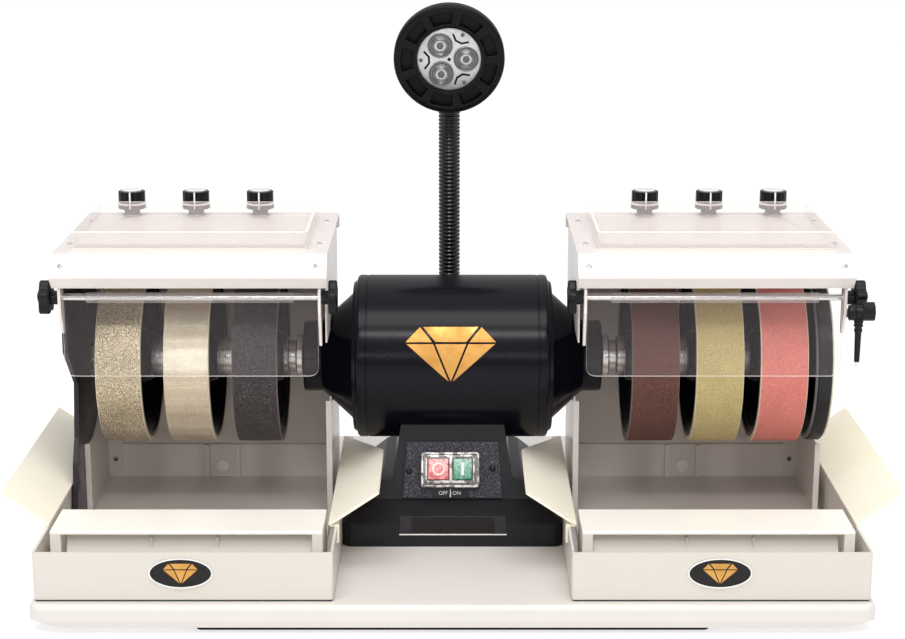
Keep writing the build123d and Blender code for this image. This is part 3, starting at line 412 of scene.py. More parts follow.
M = {
    "base": moulded("base cream", (220, 214, 209), 0.36, 0.97),
    "pan": moulded("pan cream", (213, 207, 198), 0.36, 0.97),
    "rest": moulded("rest cream", (246, 241, 231), 0.33, 0.96),
    "wing": moulded("wing cream", (255, 248, 230), 0.38, 0.97),
    "rubber": moulded("black rubber", (24, 24, 26), 0.75, 0.7, 0.25),
    "cast": painted("cast black", (26, 24, 28), 0.36, 260, 0.00012, 0.7, 0.3),
    "panel": hammered("panel black", (34, 32, 40)),
    "motor": painted("motor black", (13, 12, 20), 0.2, 90, 0, 0.75, 0.16),
    "hood": painted("hood grey", (224, 216, 210), 0.3, 60, 0, 0.95, 0.5),
    "top": painted("hood white", (236, 228, 225), 0.16, 50, 0, 0.97, 0.7),
    "guard": moulded("guard black", (46, 40, 48), 0.3, 0.8, 0.35),
    "knob": moulded("knob black", (14, 14, 17), 0.32, 0.7, 0.25),
    "neck": moulded("neck black", (9, 9, 16), 0.1, 0.7, 0.5),
    "lamp": moulded("lamp black", (13, 13, 14), 0.4, 0.7, 0.14),
    "core": moulded("core black", (16, 16, 20), 0.34, 0.7, 0.4),
    "chrome": metal("chrome", (220, 216, 214), 0.12),
    # painted reflection: the valves' chrome is darkened for the dark surroundings it reflects
    "dial": metal("smoked chrome", (78, 68, 74), 0.14),
    "screw": metal("bright screw", (236, 232, 230), 0.3),
    "turned": metal("turned steel", (196, 190, 186), 0.24, (4000, 30, 30)),
    "steel": metal("plain steel", (160, 158, 156), 0.3),
    "silver": metal("silver disc", (205, 205, 205), 0.35, (60, 60, 60)),
    "gold": metal("gold", (222, 170, 96), 0.55),
    "acrylic": clear("clear acrylic", (240, 228, 232), 0.022),
    # painted highlight: near-opaque white on the edges of the clear flaps and the tray rims, for the light
    # they catch
    "acrylic_edge": clear("acrylic edge", (255, 252, 248), 0.7, 0.15),
    # the tube's bright outline is a painted reflection
    "acrylic_tube": clear("acrylic tube", (232, 226, 228), 0.13, 0.05, 0.9),
    "tray": clear("tray acrylic", (240, 232, 228), 0.2, 0.05),
    "tray_floor": clear("tray floor", (255, 246, 243), 0.42, 0.06),
    # painted highlight strips along the trays' front edges
    "tray_line": clear("tray seam", (255, 250, 232), 0.8, 0.2),
    "reflector": metal("lamp reflector", (140, 140, 140), 0.4),
    # painted reflections: the pale patches on the two buttons
    "red": painted_glints("button red", (200, 74, 84), (238, 176, 172), 260, 1.0, 0.12, 0.55),
    "green": painted_glints("button green", (40, 122, 92), (128, 190, 162), 320, 1.0, 0.12, 0.5),
    "mark": moulded("white mark", (238, 238, 234), 0.35, 0.97),
    "cap": moulded("cap white", (222, 222, 220), 0.3, 0.97),
    # painted reflections: the clear cover and its rims are drawn light, with dark patches for what they
    # reflect
    "cover": painted_glints("switch cover", (222, 214, 210), (62, 52, 56), 150, 0.9, 0.08, 0.9),
    "bezel": moulded("bezel grey", (74, 64, 66), 0.12, 0.85, 0.6),
    "chip": moulded("lamp chip", (92, 92, 92), 0.3, 0.8),
    "ring": moulded("lens ring", (108, 108, 108), 0.3, 0.85),
    "band_rim": moulded("band rim", (226, 212, 186), 0.4, 0.9),
    "band_rim_dark": moulded("dark band rim", (112, 104, 100), 0.4, 0.9),
    "plate": moulded("plate black", (40, 38, 44), 0.24, 0.85, 0.35),
    "label": moulded("label black", (22, 19, 18), 0.3, 0.85, 0.3),
    "plug": moulded("plug white", (240, 238, 234), 0.4, 0.95),
    "pad": moulded("pad cream", (244, 238, 214), 0.8, 0.93),
    "band_1": abrasive("coarse gold grit", (192, 174, 144), (84, 70, 50), (255, 248, 224), 1300, 0.3, 0.7),
    "band_2": abrasive("fine gold grit", (226, 211, 186), (196, 180, 154), (250, 242, 224), 2400, 0.24,
                       0.9, 0.6),
    "band_3": abrasive("dark resin", (52, 47, 48), (32, 29, 31), (112, 104, 104), 1300, 0.42),
    "band_4": abrasive("brown resin", (96, 61, 55), (66, 41, 37), (130, 90, 82), 1300, 0.7),
    "band_5": abrasive("olive resin", (190, 171, 118), (162, 146, 96), (214, 198, 148), 1300, 0.62),
    "band_6": abrasive("salmon resin", (216, 126, 116), (194, 106, 98), (232, 152, 140), 1300, 0.62),
}


# ------------------------------------------------------------------ CAD nodes that stay
def dress(names, material, width=0.0, segments=2, angle=30):
    """Give CAD nodes a material and soft edges."""
    for name in names:
        node = nodes[name]
        node.data.materials.clear()
        node.data.materials.append(M[material])
        if width:
            bevel(node, width, segments, angle, weld=True)


def paired(name):
    return [f"{name}_{side}" for side in SIDES]


dress(["base_plate"], "base")
dress(["foot_strips"], "rubber", 0.6 * MM)
dress(["pedestal"], "cast", 2.0 * MM, 3)
dress(["switch_plate"], "panel", 0.5 * MM)
dress(["switch_housing"], "bezel", 0.7 * MM)
dress(["power_inlet"], "knob", 0.5 * MM)
dress(paired("hood_shell"), "hood", 0.35 * MM)
dress(["hood_tops"], "top", 0.9 * MM, 3)
dress(["side_guard_left"], "guard", 0.5 * MM)
dress(["flap_brackets"], "top", 0.5 * MM)
dress(paired("splash_pan"), "pan", 0.7 * MM, 3)
dress(paired("arm_rest"), "rest", 0.9 * MM, 3)
dress(paired("pan_wings"), "wing", 0.5 * MM)
dress(["drip_clamp", "drip_nozzle"], "knob", 0.5 * MM)
dress(["lamp_socket"], "steel", 0.6 * MM)
dress(["motor_stator", "motor_rotor", "ball_bearings"], "steel")
dress(paired("flap_rod"), "chrome")
dress(["main_shaft"], "turned")


# ------------------------------------------------------------------ motor
def arc(centre, radius, start, end, steps=5):
    """Points on an arc in an (along, radius) profile, angles in degrees."""
    return [(centre[0] + radius * cos(radians(start + (end - start) * k / steps)),
             centre[1] + radius * sin(radians(start + (end - start) * k / steps))) for k in range(steps + 1)]


def build_motor():
    """Drum with rounded ends and a groove near each end, and the two end bells."""
    fillet, seam, groove = 3.2 * MM, 75 * MM, 0.4 * MM
    r, half = MOTOR_RADIUS, MOTOR_HALF
    right = [(seam - 2 * groove, r), (seam - groove, r - groove), (seam + groove, r - groove)]
    right += [(seam + 2 * groove, r)] + arc((half - fillet, r - fillet), fillet, 90, 0)
    left = [(-x, y) for x, y in reversed(right)]
    inner = r - 3.5 * MM
    profile = [(-half, inner)] + left + right + [(half, inner)]
    drum = lathe("motor_drum", profile, (0, 0, SHAFT_Z), X_AXIS, M["motor"], 160, closed=True)
    on(drum, "machine", "motor_black", "motor_shell")
    bell_end, bore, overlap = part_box("motor_end_caps")[1].x, 16.2 * MM, 1 * MM
    for side, way in SIDES.items():
        bell = [(half - overlap, inner)] + mm([(87.5, 66), (87.7, 57.5), (88.6, 56.3)])
        bell += mm([(113.6, 33.4), (115, 32.2), (116.5, 31.6)])
        bell += [(bell_end - 1 * MM, 31.5 * MM), (bell_end, 30.5 * MM), (bell_end, 17 * MM)]
        bell += [(bell_end - 3 * MM, bore), (half - overlap, bore)]
        cap = lathe(f"motor_bell_{side}", bell, (0, 0, SHAFT_Z), (way, 0, 0), M["motor"], 128, closed=True)
        on(cap, "machine", "motor_black", "motor_end_caps")


GEM = {  # a cut stone: each facet's corners on a grid of half widths and heights
    "table": [(-25, 19), (25, 19), (14, 5), (-14, 5)],
    "crown_left": [(-25, 19), (-14, 5), (-38, 5)],
    "crown_right": [(25, 19), (38, 5), (14, 5)],
    "pavilion_left": [(-38, 5), (-14, 5), (0, -29)],
    "pavilion_middle": [(-14, 5), (14, 5), (0, -29)],
    "pavilion_right": [(14, 5), (38, 5), (0, -29)],
}


def gem(name, place, scale, body, shrink=0.9, steps=6, rings=4, proud=0.3 * MM):
    """Gold facets with fine gaps between them; place maps flat (x, y) to a point off the surface."""
    verts, faces = [], []
    for corners in GEM.values():
        middle = sum((Vector(c) for c in corners), Vector((0, 0))) / len(corners)
        outline = []
        for a, b in zip(corners, corners[1:] + corners[:1]):
            for k in range(steps):
                point = Vector(a).lerp(Vector(b), k / steps)
                outline.append(middle + (point - middle) * shrink)
        start, n = len(verts) + 1, len(outline)
        verts.append(place(*(middle * scale), proud))
        for k in range(1, rings + 1):
            verts += [place(*(middle.lerp(p, k / rings) * scale), proud) for p in outline]
        verts += [place(*(p * scale), -proud) for p in outline]
        for i in range(n):
            j = (i + 1) % n
            faces.append((start - 1, start + i, start + j))
            for k in range(rings):
                near, far = start + k * n, start + (k + 1) * n
                faces.append((near + i, far + i, far + j, near + j))
    return on(piece(name, verts, faces, M["gold"], 20), body, "motor_black")


def on_drum(x, y, out, lift=19, shift=-1.5 * MM):
    """Point on the front of the motor drum, y measured round it from lift degrees above the middle."""
    angle = y / MOTOR_RADIUS + radians(lift)
    r = MOTOR_RADIUS + out
    return Vector((x + shift, -r * cos(angle), SHAFT_Z + r * sin(angle)))


# ------------------------------------------------------------------ wheels and spindle
DARK_RIMMED = (3, 4)
BAND_SLOTS = ("band_coarse_gold", "band_fine_gold", "band_dark", "band_brown", "band_olive", "band_salmon")


def on_shaft(name, profile, material, slot_name, node, segments=128, x=0.0, closed=True):
    """A turned piece that spins with the shaft."""
    shape = lathe(name, profile, (x, 0, SHAFT_Z), X_AXIS, M[material], segments, closed=closed)
    return on(shape, "spindle", slot_name, node)


def build_wheels():
    """Six bands on cores with recessed faces."""
    band_thick, edge, side_face = 4.2 * MM, 1.0 * MM, 0.25
    for number, slot_name in enumerate(BAND_SLOTS, start=1):
        low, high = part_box(f"wheel_band_{number}")
        x, half, r = (low.x + high.x) / 2, (high.x - low.x) / 2, (high.z - low.z) / 2
        inner = r - band_thick
        profile = [(-half, inner)] + arc((-half + edge, r - edge), edge, 180, 90)
        profile += arc((half - edge, r - edge), edge, 90, 0) + [(half, inner)]
        looks = [M[f"band_{number}"], M["band_rim_dark" if number in DARK_RIMMED else "band_rim"]]
        band = lathe(f"grit_band_{number}", profile, (x, 0, SHAFT_Z), X_AXIS, looks, 160, closed=True)
        for face in band.data.polygons:
            face.material_index = 1 if abs(face.normal.x) > side_face else 0
        on(band, "spindle", slot_name, f"wheel_band_{number}")
        flank = [(half, inner), (half, inner - 3.2 * MM), (half - 0.8 * MM, inner - 4.0 * MM),
                 (half - 2.2 * MM, inner - 4.6 * MM), (half - 2.2 * MM, inner - 7.0 * MM),
                 (half - 5 * MM, inner - 9 * MM), (6 * MM, inner - 12 * MM), (5 * MM, 28 * MM),
                 (8 * MM, 24.5 * MM), (half - 2 * MM, 22 * MM), (half - 0.6 * MM, 21 * MM),
                 (half, 19.4 * MM), (half, 9.5 * MM)]
        core = [(-a, b) for a, b in reversed(flank)] + flank
        on_shaft(f"wheel_core_{number}", core, "core", "core_black", "wheel_cores", x=x)


def split_solids(node):
    """(lowest x, highest x, radius) of each loose solid of a turned node."""
    mesh = nodes[node].data
    bm = bmesh.new()
    bm.from_mesh(mesh)
    bmesh.ops.remove_doubles(bm, verts=bm.verts, dist=1e-6)
    seen, found = set(), []
    for start in bm.verts:
        if start in seen:
            continue
        group, queue = [], [start]
        seen.add(start)
        while queue:
            vert = queue.pop()
            group.append(vert)
            for e in vert.link_edges:
                other = e.other_vert(vert)
                if other not in seen:
                    seen.add(other)
                    queue.append(other)
        xs = [v.co.x for v in group]
        found.append((min(xs), max(xs), max(Vector((v.co.y, v.co.z - SHAFT_Z)).length for v in group)))
    bm.free()
    return sorted(found)


def build_spindle():
    """Bright collars and spacers, the end nut, and the black end disc with its pad and a grey ring that
    paints the highlight on its rim.
    """
    edge, bore = 0.8 * MM, 9.6 * MM
    motor_side = 134 * MM  # the stacks that reach in past this have stepped collars next to the motor
    steps = ((132.9, 139, 19.4), (139, 146, 14.0))
    for number, (start, end, radius) in enumerate(split_solids("spindle_spacers"), start=1):
        stack = [(start, end, radius)]
        if min(abs(start), abs(end)) < motor_side:
            way, far = (1, end) if start > 0 else (-1, start)
            stack = [(way * a * MM, way * b * MM, r * MM) for a, b, r in steps]
            stack.append((way * 146 * MM, far, 17.5 * MM))
        for k, (a, b, r) in enumerate(stack, start=1):
            a, b = min(a, b), max(a, b)
            rim = [(a, bore), (a, r - edge), (a + edge, r), (b - edge, r), (b, r - edge), (b, bore)]
            on_shaft(f"collar_{number}_{k}", rim, "turned", "spacer_chrome", "spindle_spacers", 72)
    low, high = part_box("shaft_nuts")
    washer = [(high.x - 2.5 * MM, bore), (high.x - 2.5 * MM, 21.5 * MM), (high.x - 2 * MM, 22 * MM)]
    washer += [(high.x, 22 * MM), (high.x, bore)]
    on_shaft("end_washer", washer, "steel", "spacer_chrome", "shaft_nuts", 72)
    hexagon = [(y, SHAFT_Z + z) for y, z in oval(15 * MM, 15 * MM, 6)]
    nut = prism("end_nut", hexagon, across(low.x), 12 * MM, M["steel"], 0.8 * MM)
    on(nut, "spindle", "spacer_chrome", "shaft_nuts")
    low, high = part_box("polishing_disc")
    a, b = low.x, high.x
    disc = [(a, 0.0095), (a, 0.020), (a + 0.005, 0.024), (b - 0.009, 0.064), (b - 0.012, 0.069),
            (b - 0.012, 0.0742), (b - 0.0112, 0.0752), (b - 0.001, 0.0755), (b, 0.0746), (b, 0.0)]
    on_shaft("end_disc", disc, "core", "disc_black", "polishing_disc", closed=False)
    # painted highlight: a grey ring on the black disc's rim for the light along its edge
    rim_highlight_ring = [(b - 0.0138, 0.0700), (b - 0.0138, 0.0722), (b - 0.0122, 0.0738), (b - 0.0115, 0.0738),
            (b - 0.0115, 0.0700)]
    on_shaft("end_disc_step", rim_highlight_ring, "ring", "disc_black", "polishing_disc")
    low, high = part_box("polishing_pad")
    a, b = low.x, high.x
    pad = [(a, 0.0), (a, 0.0730), (b - 0.0008, 0.0735), (b, 0.0727), (b, 0.0)]
    on_shaft("end_pad", pad, "pad", "pad_cream", "polishing_pad", closed=False)


# ------------------------------------------------------------------ splash flaps
def build_flaps():
    """Clear sheet with rounded lower corners and painted highlights on its edges, rolled round the rod, and
    the star knobs.
    """
    thick, corner, above_rod = 2.6 * MM, 9 * MM, 4 * MM
    bore, chamfer, radius = 2.8 * MM, 0.3 * MM, 4.35 * MM
    stars = {"outer": (332.4, 338.5, 348.0), "inner": (110.4, 104.6, 97.2)}  # boss, face and end, along X
    for side, way in SIDES.items():
        low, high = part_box(f"splash_flap_{side}")
        body, node = f"flap_{side}", f"splash_flap_{side}"
        top = ROD_Z + above_rod
        outline = round_corners([(low.x, top), (low.x, low.z), (high.x, low.z), (high.x, top)],
                                [0.5 * MM, corner, corner, 0.5 * MM], 8)
        looks = [M["acrylic"], M["acrylic_edge"]]
        sheet = prism(f"flap_sheet_{side}", outline, facing(low.y + thick), thick, looks)
        # the sheet's edge faces take the painted highlight
        for face in sheet.data.polygons:
            face.material_index = 0 if abs(face.normal.y) > 0.7 else 1
        on(bevel(sheet, 0.4 * MM, 2), body, "acrylic_clear", node)
        a, b = sorted((way * 134 * MM, way * 309 * MM))
        sleeve = [(a, bore), (a, 4.0 * MM), (a + chamfer, radius)]
        sleeve += [(b - chamfer, radius), (b, 4.0 * MM), (b, bore)]
        rolled = lathe(f"flap_sleeve_{side}", sleeve, (0, ROD_Y, ROD_Z), X_AXIS, M["acrylic_tube"], 48,
                       closed=True)
        on(rolled, body, "acrylic_clear", node)
        for part, places in stars.items():
            boss, face, end = (way * place * MM for place in places)
            build_star(f"star_{part}_{side}", boss, face, end, body, f"flap_knobs_{side}")


def build_star(name, boss, face, end, body, replaced):
    """Five-lobed clamping knob on the flap's rod, with a ribbed boss."""
    lobes, radius, swell, count, ribs = 5, 12.9 * MM, 2.0 * MM, 80, 32
    points = []
    for k in range(count):
        a = tau * k / count
        r = radius + swell * cos(lobes * a)
        points.append((ROD_Y + r * cos(a + pi / 2), ROD_Z + r * sin(a + pi / 2)))
    a, b = sorted((face, end))
    head = prism(f"{name}_head", points, across(a), b - a, M["knob"])
    on(bevel(head, 1.6 * MM, 4, 50), body, "knob_black", replaced)
    a, b = sorted((boss, face))
    points = []
    for k in range(ribs):
        r = (6.0 if k % 2 else 5.4) * MM
        points.append((ROD_Y + r * cos(tau * k / ribs), ROD_Z + r * sin(tau * k / ribs)))
    on(prism(f"{name}_boss", points, across(a), b - a, M["knob"], 0.2 * MM), body, "knob_black", replaced)


# ------------------------------------------------------------------ water valves
def valve_axis(number):
    return joints[f"valve_turn_{number}"]["pos_m"][:2]


def valve_part(name, number, profile, z, material, node=None, body=None, slot_name="knob_black", segments=72):
    """A turned piece of a valve, with its profile in millimetres above z."""
    shape = lathe(f"{name}_{number}", mm(profile), (*valve_axis(number), z), Z_AXIS, M[material], segments)
    knob = f"valve_knob_{number}"
    on(shape, body or knob, slot_name, node or knob)


def build_valves():
    """Chrome neck, flared dial with a white ring, fluted knob with a pointer line and a bright cap."""
    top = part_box("hood_tops")[1].z
    grip_start = top + 12.3 * MM
    grip_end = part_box("valve_knob_1")[1].z - 1.8 * MM
    grip_radius, flutes, flute_depth, count, half_line = 12.2, 14, 1.2, 168, 0.75 * MM
    height = grip_end - grip_start
    for number in range(1, 7):
        x, y = valve_axis(number)
        body = f"valve_knob_{number}"
        neck = [(0, 0), (0, 8.6), (0.6, 8.9), (1.2, 8.6), (1.7, 7.4), (4.6, 7.2), (5.0, 6.8), (5.0, 0)]
        valve_part("valve_neck", number, neck, top, "dial", "valve_bodies", "machine", "valve_chrome")
        dial = [(5.4, 0), (5.4, 7.0), (5.8, 8.0), (6.8, 12.3), (7.3, 12.9), (7.8, 13.0), (10.4, 12.5),
                (10.6, 12.2), (10.6, 0)]
        valve_part("valve_dial", number, dial, top, "dial")
        ring = [(10.6, 0), (10.6, 12.5), (10.8, 12.7), (12.1, 12.7), (12.3, 12.5), (12.3, 0)]
        valve_part("valve_ring", number, ring, top, "mark")
        outline = []
        for k in range(count):
            a = tau * k / count
            r = (grip_radius - flute_depth * max(0.0, cos(flutes * a)) ** 3) * MM
            outline.append((r * cos(a), r * sin(a)))
        place = Matrix.Translation((x, y, grip_start))
        grip = prism(f"valve_grip_{number}", outline, place, height, M["knob"])
        on(bevel(grip, 0.8 * MM, 3, 60), body, "knob_black", body)
        rim = [(-0.2, 10.6), (0.4, 10.6), (0.9, 10.0), (0.9, 9.3), (-0.2, 9.3)]
        valve_part("valve_cap_rim", number, rim, grip_start + height, "ring")
        cap = [(-0.2, 0), (-0.2, 9.2), (1.0, 9.2), (1.5, 8.6), (1.75, 7.6), (1.6, 7.0), (1.6, 0)]
        valve_part("valve_cap", number, cap, grip_start + height, "cap")
        for name, near, far, z0, z1 in (
            ("valve_pointer", 12.4, 10.4, grip_start - 0.6 * MM, grip_start + height + 0.2 * MM),
            ("valve_tick", 13.1, 11.9, top + 7.6 * MM, top + 11.2 * MM),
        ):
            line = block(f"{name}_{number}", (x - half_line, y - near * MM, z0),
                         (x + half_line, y - far * MM, z1), M["mark"], 0.2 * MM)
            on(line, body, "knob_black", body)
    build_spouts(top)


def build_spouts(top):
    """Pipe and down-turned spout from each valve, under the cover."""
    shank = [(-24, 0), (-24, 5.4), (-23, 5.6), (-13, 5.6), (-12.5, 5.0), (-2.2, 5.0), (-2, 5.5), (0.4, 5.5),
             (0.4, 0)]
    z = top - 18 * MM
    for number in range(1, 7):
        x, y = valve_axis(number)
        valve_part("valve_shank", number, shank, top, "steel", "valve_bodies", "machine", "valve_chrome", 40)
        points = [Vector((x, y, z)), Vector((x, y - 50 * MM, z))]
        for t in range(1, 6):
            bend = t * pi / 10
            points.append(Vector((x, y - 52 * MM - 11 * MM * sin(bend), z - 9 * MM * (1 - cos(bend)))))
        spout = tube(f"valve_spout_{number}", points, 2.7 * MM, M["steel"])
        on(spout, "machine", "valve_chrome", "valve_bodies")


def tube(name, points, radius, material, count=20):
    """A round pipe along points that stay in one plane across X."""
    verts, faces = [], []
    for k, p in enumerate(points):
        way = (points[min(k + 1, len(points) - 1)] - points[max(k - 1, 0)]).normalized()
        side = Vector(X_AXIS)
        up = side.cross(way).normalized()
        for i in range(count):
            a = tau * i / count
            verts.append(p + (side * cos(a) + up * sin(a)) * radius)
    for k in range(len(points) - 1):
        for i in range(count):
            j = (i + 1) % count
            faces.append((k * count + i, k * count + j, (k + 1) * count + j, (k + 1) * count + i))
    faces.append(tuple(range(count)))
    faces.append(tuple(range(len(verts) - 1, len(verts) - count - 1, -1)))
    return piece(name, verts, faces, material)


# ------------------------------------------------------------------ stone trays
def build_trays():
    """Open clear boxes with painted highlights on their rim tops and along the front's bottom and top edges.
    """
    wall, highlight_height = 3 * MM, 0.9 * MM
    for side in SIDES:
        node = f"stone_tray_{side}"
        low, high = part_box(node)
        outer = round_corners(rectangle(low, high), 2.5 * MM, 4)
        inner = round_corners(rectangle(low, high, wall), 1.5 * MM, 4)
        n = len(outer)
        levels = [(outer, low.z), (outer, high.z), (inner, high.z), (inner, low.z + wall)]
        verts = [Vector((p[0], p[1], z)) for ring, z in levels for p in ring]
        faces = [tuple(range(n)), tuple(range(4 * n - 1, 3 * n - 1, -1))]
        faces += joined(n, len(levels))
        tray = piece(f"stone_box_{side}", verts, faces, [M["tray"], M["acrylic_edge"], M["tray_floor"]])
        # rim tops take the painted edge highlight
        for face in tray.data.polygons:
            if face.normal.z > 0.7:
                face.material_index = 1 if face.center.z > high.z - wall / 2 else 2
        # painted highlights: bright strips along the front wall's bottom and top edges
        for k, z in enumerate((low.z, high.z - highlight_height)):
            seam = block(f"stone_box_seam_{side}_{k}", (low.x + 1.5 * MM, low.y - 0.15 * MM, z),
                         (high.x - 1.5 * MM, low.y + 0.5 * MM, z + highlight_height), M["tray_line"])
            on(seam, node, "acrylic_clear", node)
        on(bevel(tray, 0.5 * MM, 2), node, "acrylic_clear", node)


# ------------------------------------------------------------------ switch
PANEL_SLOPE = atan2(15.0, 48.5)
PANEL_OUT = Vector((0, -cos(PANEL_SLOPE), sin(PANEL_SLOPE)))
PANEL_UP = Vector((0, sin(PANEL_SLOPE), cos(PANEL_SLOPE)))
PANEL_HALF_THICK = 1.25  # millimetres
PANEL_LOW, PANEL_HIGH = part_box("switch_plate")
PANEL_MID = Vector((0, (PANEL_LOW.y + PANEL_HIGH.y) / 2, (PANEL_LOW.z + PANEL_HIGH.z) / 2))
PANEL_FACE = PANEL_MID + PANEL_OUT * PANEL_HALF_THICK * MM


def on_panel(x, up, out):
    """Point on the switch panel: across, up it and proud of it, in millimetres."""
    return PANEL_FACE + Vector((x * MM, 0, 0)) + PANEL_UP * up * MM + PANEL_OUT * out * MM


def panel_matrix(x, up, out):
    return frame_matrix(on_panel(x, up, out), X_AXIS, PANEL_UP)


def rounded_box(width, tall, radius):
    """Outline about the middle, in millimetres."""
    w, t = width / 2 * MM, tall / 2 * MM
    return round_corners(rectangle((-w, -t), (w, t)), radius * MM, 5)


def frame_ring(name, outer, inner, matrix, depth, material, bevel_width):
    """A flat frame between two outlines with the same number of points."""
    rings = [(outer, 0), (outer, depth), (inner, depth), (inner, 0)]
    verts = [matrix @ Vector((p[0], p[1], z)) for ring, z in rings for p in ring]
    return bevel(piece(name, verts, joined(len(outer), 4, closed=True), material), bevel_width, 3)


def build_buttons():
    """Two square push buttons with their marks, each in a clear frame."""
    up, back, face, frame_back = 0.8, -7.5, 5.0, 4.9  # millimetres up the panel, and out of it
    cap_thick, mark_thick, rim_thick, cover_thick = 12.6 * MM, 0.25 * MM, 2.6 * MM, 1.4 * MM
    for name, x, width, body in (("off", -12.4, 18.4, "off_key"), ("on", 8.8, 17.0, "on_key")):
        colour = {"off": "red", "on": "green"}[name]
        slot_name, node = f"button_{colour}", f"{name}_button"
        place = panel_matrix(x, up, back)
        cap = prism(f"{name}_cap", rounded_box(width, 19, 1.6), place, cap_thick, M[colour])
        on(bevel(cap, 0.9 * MM, 4, 50), body, slot_name, node)
        place = panel_matrix(x, up, face)
        if name == "off":
            outer, inner = oval(5.4 * MM, 5.4 * MM), oval(4.3 * MM, 4.3 * MM)
            mark = frame_ring("off_mark", outer, inner, place, mark_thick, M["mark"], 0.05 * MM)
        else:
            mark = prism("on_mark", rounded_box(2.2, 11, 0.5), place, mark_thick, M["mark"], 0.05 * MM)
        on(mark, body, slot_name, node)
        outer, inner = rounded_box(width + 4.4, 25, 2.6), rounded_box(width + 0.9, 20, 1.6)
        place = panel_matrix(x, up, frame_back)
        rim = frame_ring(f"{name}_rim", outer, inner, place, rim_thick, M["cover"], 0.8 * MM)
        on(rim, "machine", "switch_clear")
    outer, inner = rounded_box(50.6, 30.6, 3.2), rounded_box(46.5, 26.6, 2.2)
    place = panel_matrix(-2, 0, frame_back)
    cover = frame_ring("switch_cover", outer, inner, place, cover_thick, M["cover"], 0.9 * MM)
    on(cover, "machine", "switch_clear")


def build_words():
    """The two words under the buttons, on their plate, with a line between them."""
    words_up, middle = -20.4, -1.8
    for word, x in (("OFF", -8.2), ("ON", 3.6)):
        text = bpy.data.curves.new(f"word_{word}", "FONT")
        text.body = word
        text.size = 4.6 * MM
        text.extrude = 0.05 * MM
        text.align_x = "CENTER"
        text.align_y = "CENTER"
        text.materials.append(M["mark"])
        obj = bpy.data.objects.new(f"word_{word}", text)
        bpy.context.scene.collection.objects.link(obj)
        obj.matrix_world = panel_matrix(x, words_up, 0.25)
        on(obj, "machine", "panel_black")
    for name, outline, out, thick, material in (
        ("word_plate", rounded_box(32, 7.2, 0.6), -0.2, 0.35, "label"),
        ("word_line", rounded_box(0.9, 7.4, 0.2), 0, 0.3, "mark"),
    ):
        place = panel_matrix(middle, words_up, out)
        on(prism(name, outline, place, thick * MM, M[material]), "machine", "panel_black")


def build_foot_label():
    """Blank plate on the front of the pedestal's foot, with a light line under it."""
    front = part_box("pedestal")[0].y
    for name, low, high, corner, y, thick, material, edge in (
        ("foot_label", (-45.5, 11), (46.2, 28), 0.6, 0.6, 1.1, "plate", 0.25),
        ("foot_label_patch", (-35.5, 13), (36.5, 27), 0.4, -0.4, 0.3, "label", 0.05),
        ("foot_label_line", (-46, 10.8), (46.7, 11.8), 0, 0.6, 1.5, "mark", 0.1),
    ):
        outline = [(x * MM, BASE_TOP + up * MM) for x, up in rectangle(low, high)]
        if corner:
            outline = round_corners(outline, corner * MM, 3)
        plate = prism(name, outline, facing(front + y * MM), thick * MM, M[material], edge * MM)
        on(plate, "machine", "panel_black")


# ------------------------------------------------------------------ screws and plugs
def screw(name, centre, out, radius, material):
    """Pan head with a cross recess drawn as two dark bars on it: painted shade where the recess would be."""
    profile = [(-0.2 * MM, 0), (-0.2 * MM, radius), (0.5 * MM, radius), (1.0 * MM, radius * 0.8),
               (1.25 * MM, radius * 0.45), (1.3 * MM, 0)]
    head = lathe(name, profile, centre, out, M[material], 32)
    out = Vector(out).normalized()
    right = out.orthogonal().normalized()
    recess_shade_start, recess_shade_thick = 1.02 * MM, 0.32 * MM
    half_long, half_wide = radius * 0.62, radius * 0.14
    bar = rectangle((-half_long, -half_wide), (half_long, half_wide))
    # painted shade: dark bars on the head stand in for the shaded cross recess
    for k, direction in enumerate((right, out.cross(right))):
        place = frame_matrix(Vector(centre) + out * recess_shade_start, direction, out.cross(direction))
        cut = prism(f"{name}_slot_{k}", bar, place, recess_shade_thick, M["label"])
        on(cut, "machine", "screw_steel", "case_screws")
    on(head, "machine", "screw_steel", "case_screws")


def build_screws():
    """Nose, top, corner and panel screws, and the white drain plugs."""
    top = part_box("hood_tops")[1].z
    nose_start, nose_end, nose_low = -96 * MM, -110 * MM, BASE_TOP + 241 * MM
    nose = Vector((0, nose_end - nose_start, nose_low - top))
    nose_out = Vector((0, nose.z, -nose.y)).normalized()
    nose_mid = Vector((0, (nose_start + nose_end) / 2, (top + nose_low) / 2))
    plug = [(0, 0), (0, 6.6), (1.2, 6.6), (2.2, 6.1), (2.8, 4.9), (3.0, 0)]
    for side, way in SIDES.items():
        for k, x in enumerate((0.114, 0.3275)):
            screw(f"nose_screw_{side}_{k}", nose_mid + Vector((way * x, 0, 0)), nose_out, 2.5 * MM, "screw")
            for j, y in enumerate((-0.055, 0.048)):
                screw(f"top_screw_{side}_{k}_{j}", (way * x, y, top), Z_AXIS, 2.4 * MM, "screw")
        corner = (way * 0.3205, 0.085, BASE_TOP + 0.022)
        screw(f"corner_screw_{side}", corner, FRONTWARD, 2.4 * MM, "steel")
        drain = (way * 0.219, 0.087, BASE_TOP + 0.015)
        cap = lathe(f"drain_cap_{side}", mm(plug), drain, FRONTWARD, M["plug"], 48)
        on(cap, "machine", "plug_white", "drain_plugs")
    for k, (x, up) in enumerate(((-38, -1), (35, 1))):
        screw(f"panel_screw_{k}", on_panel(x, up, 0), PANEL_OUT, 2.8 * MM, "knob")


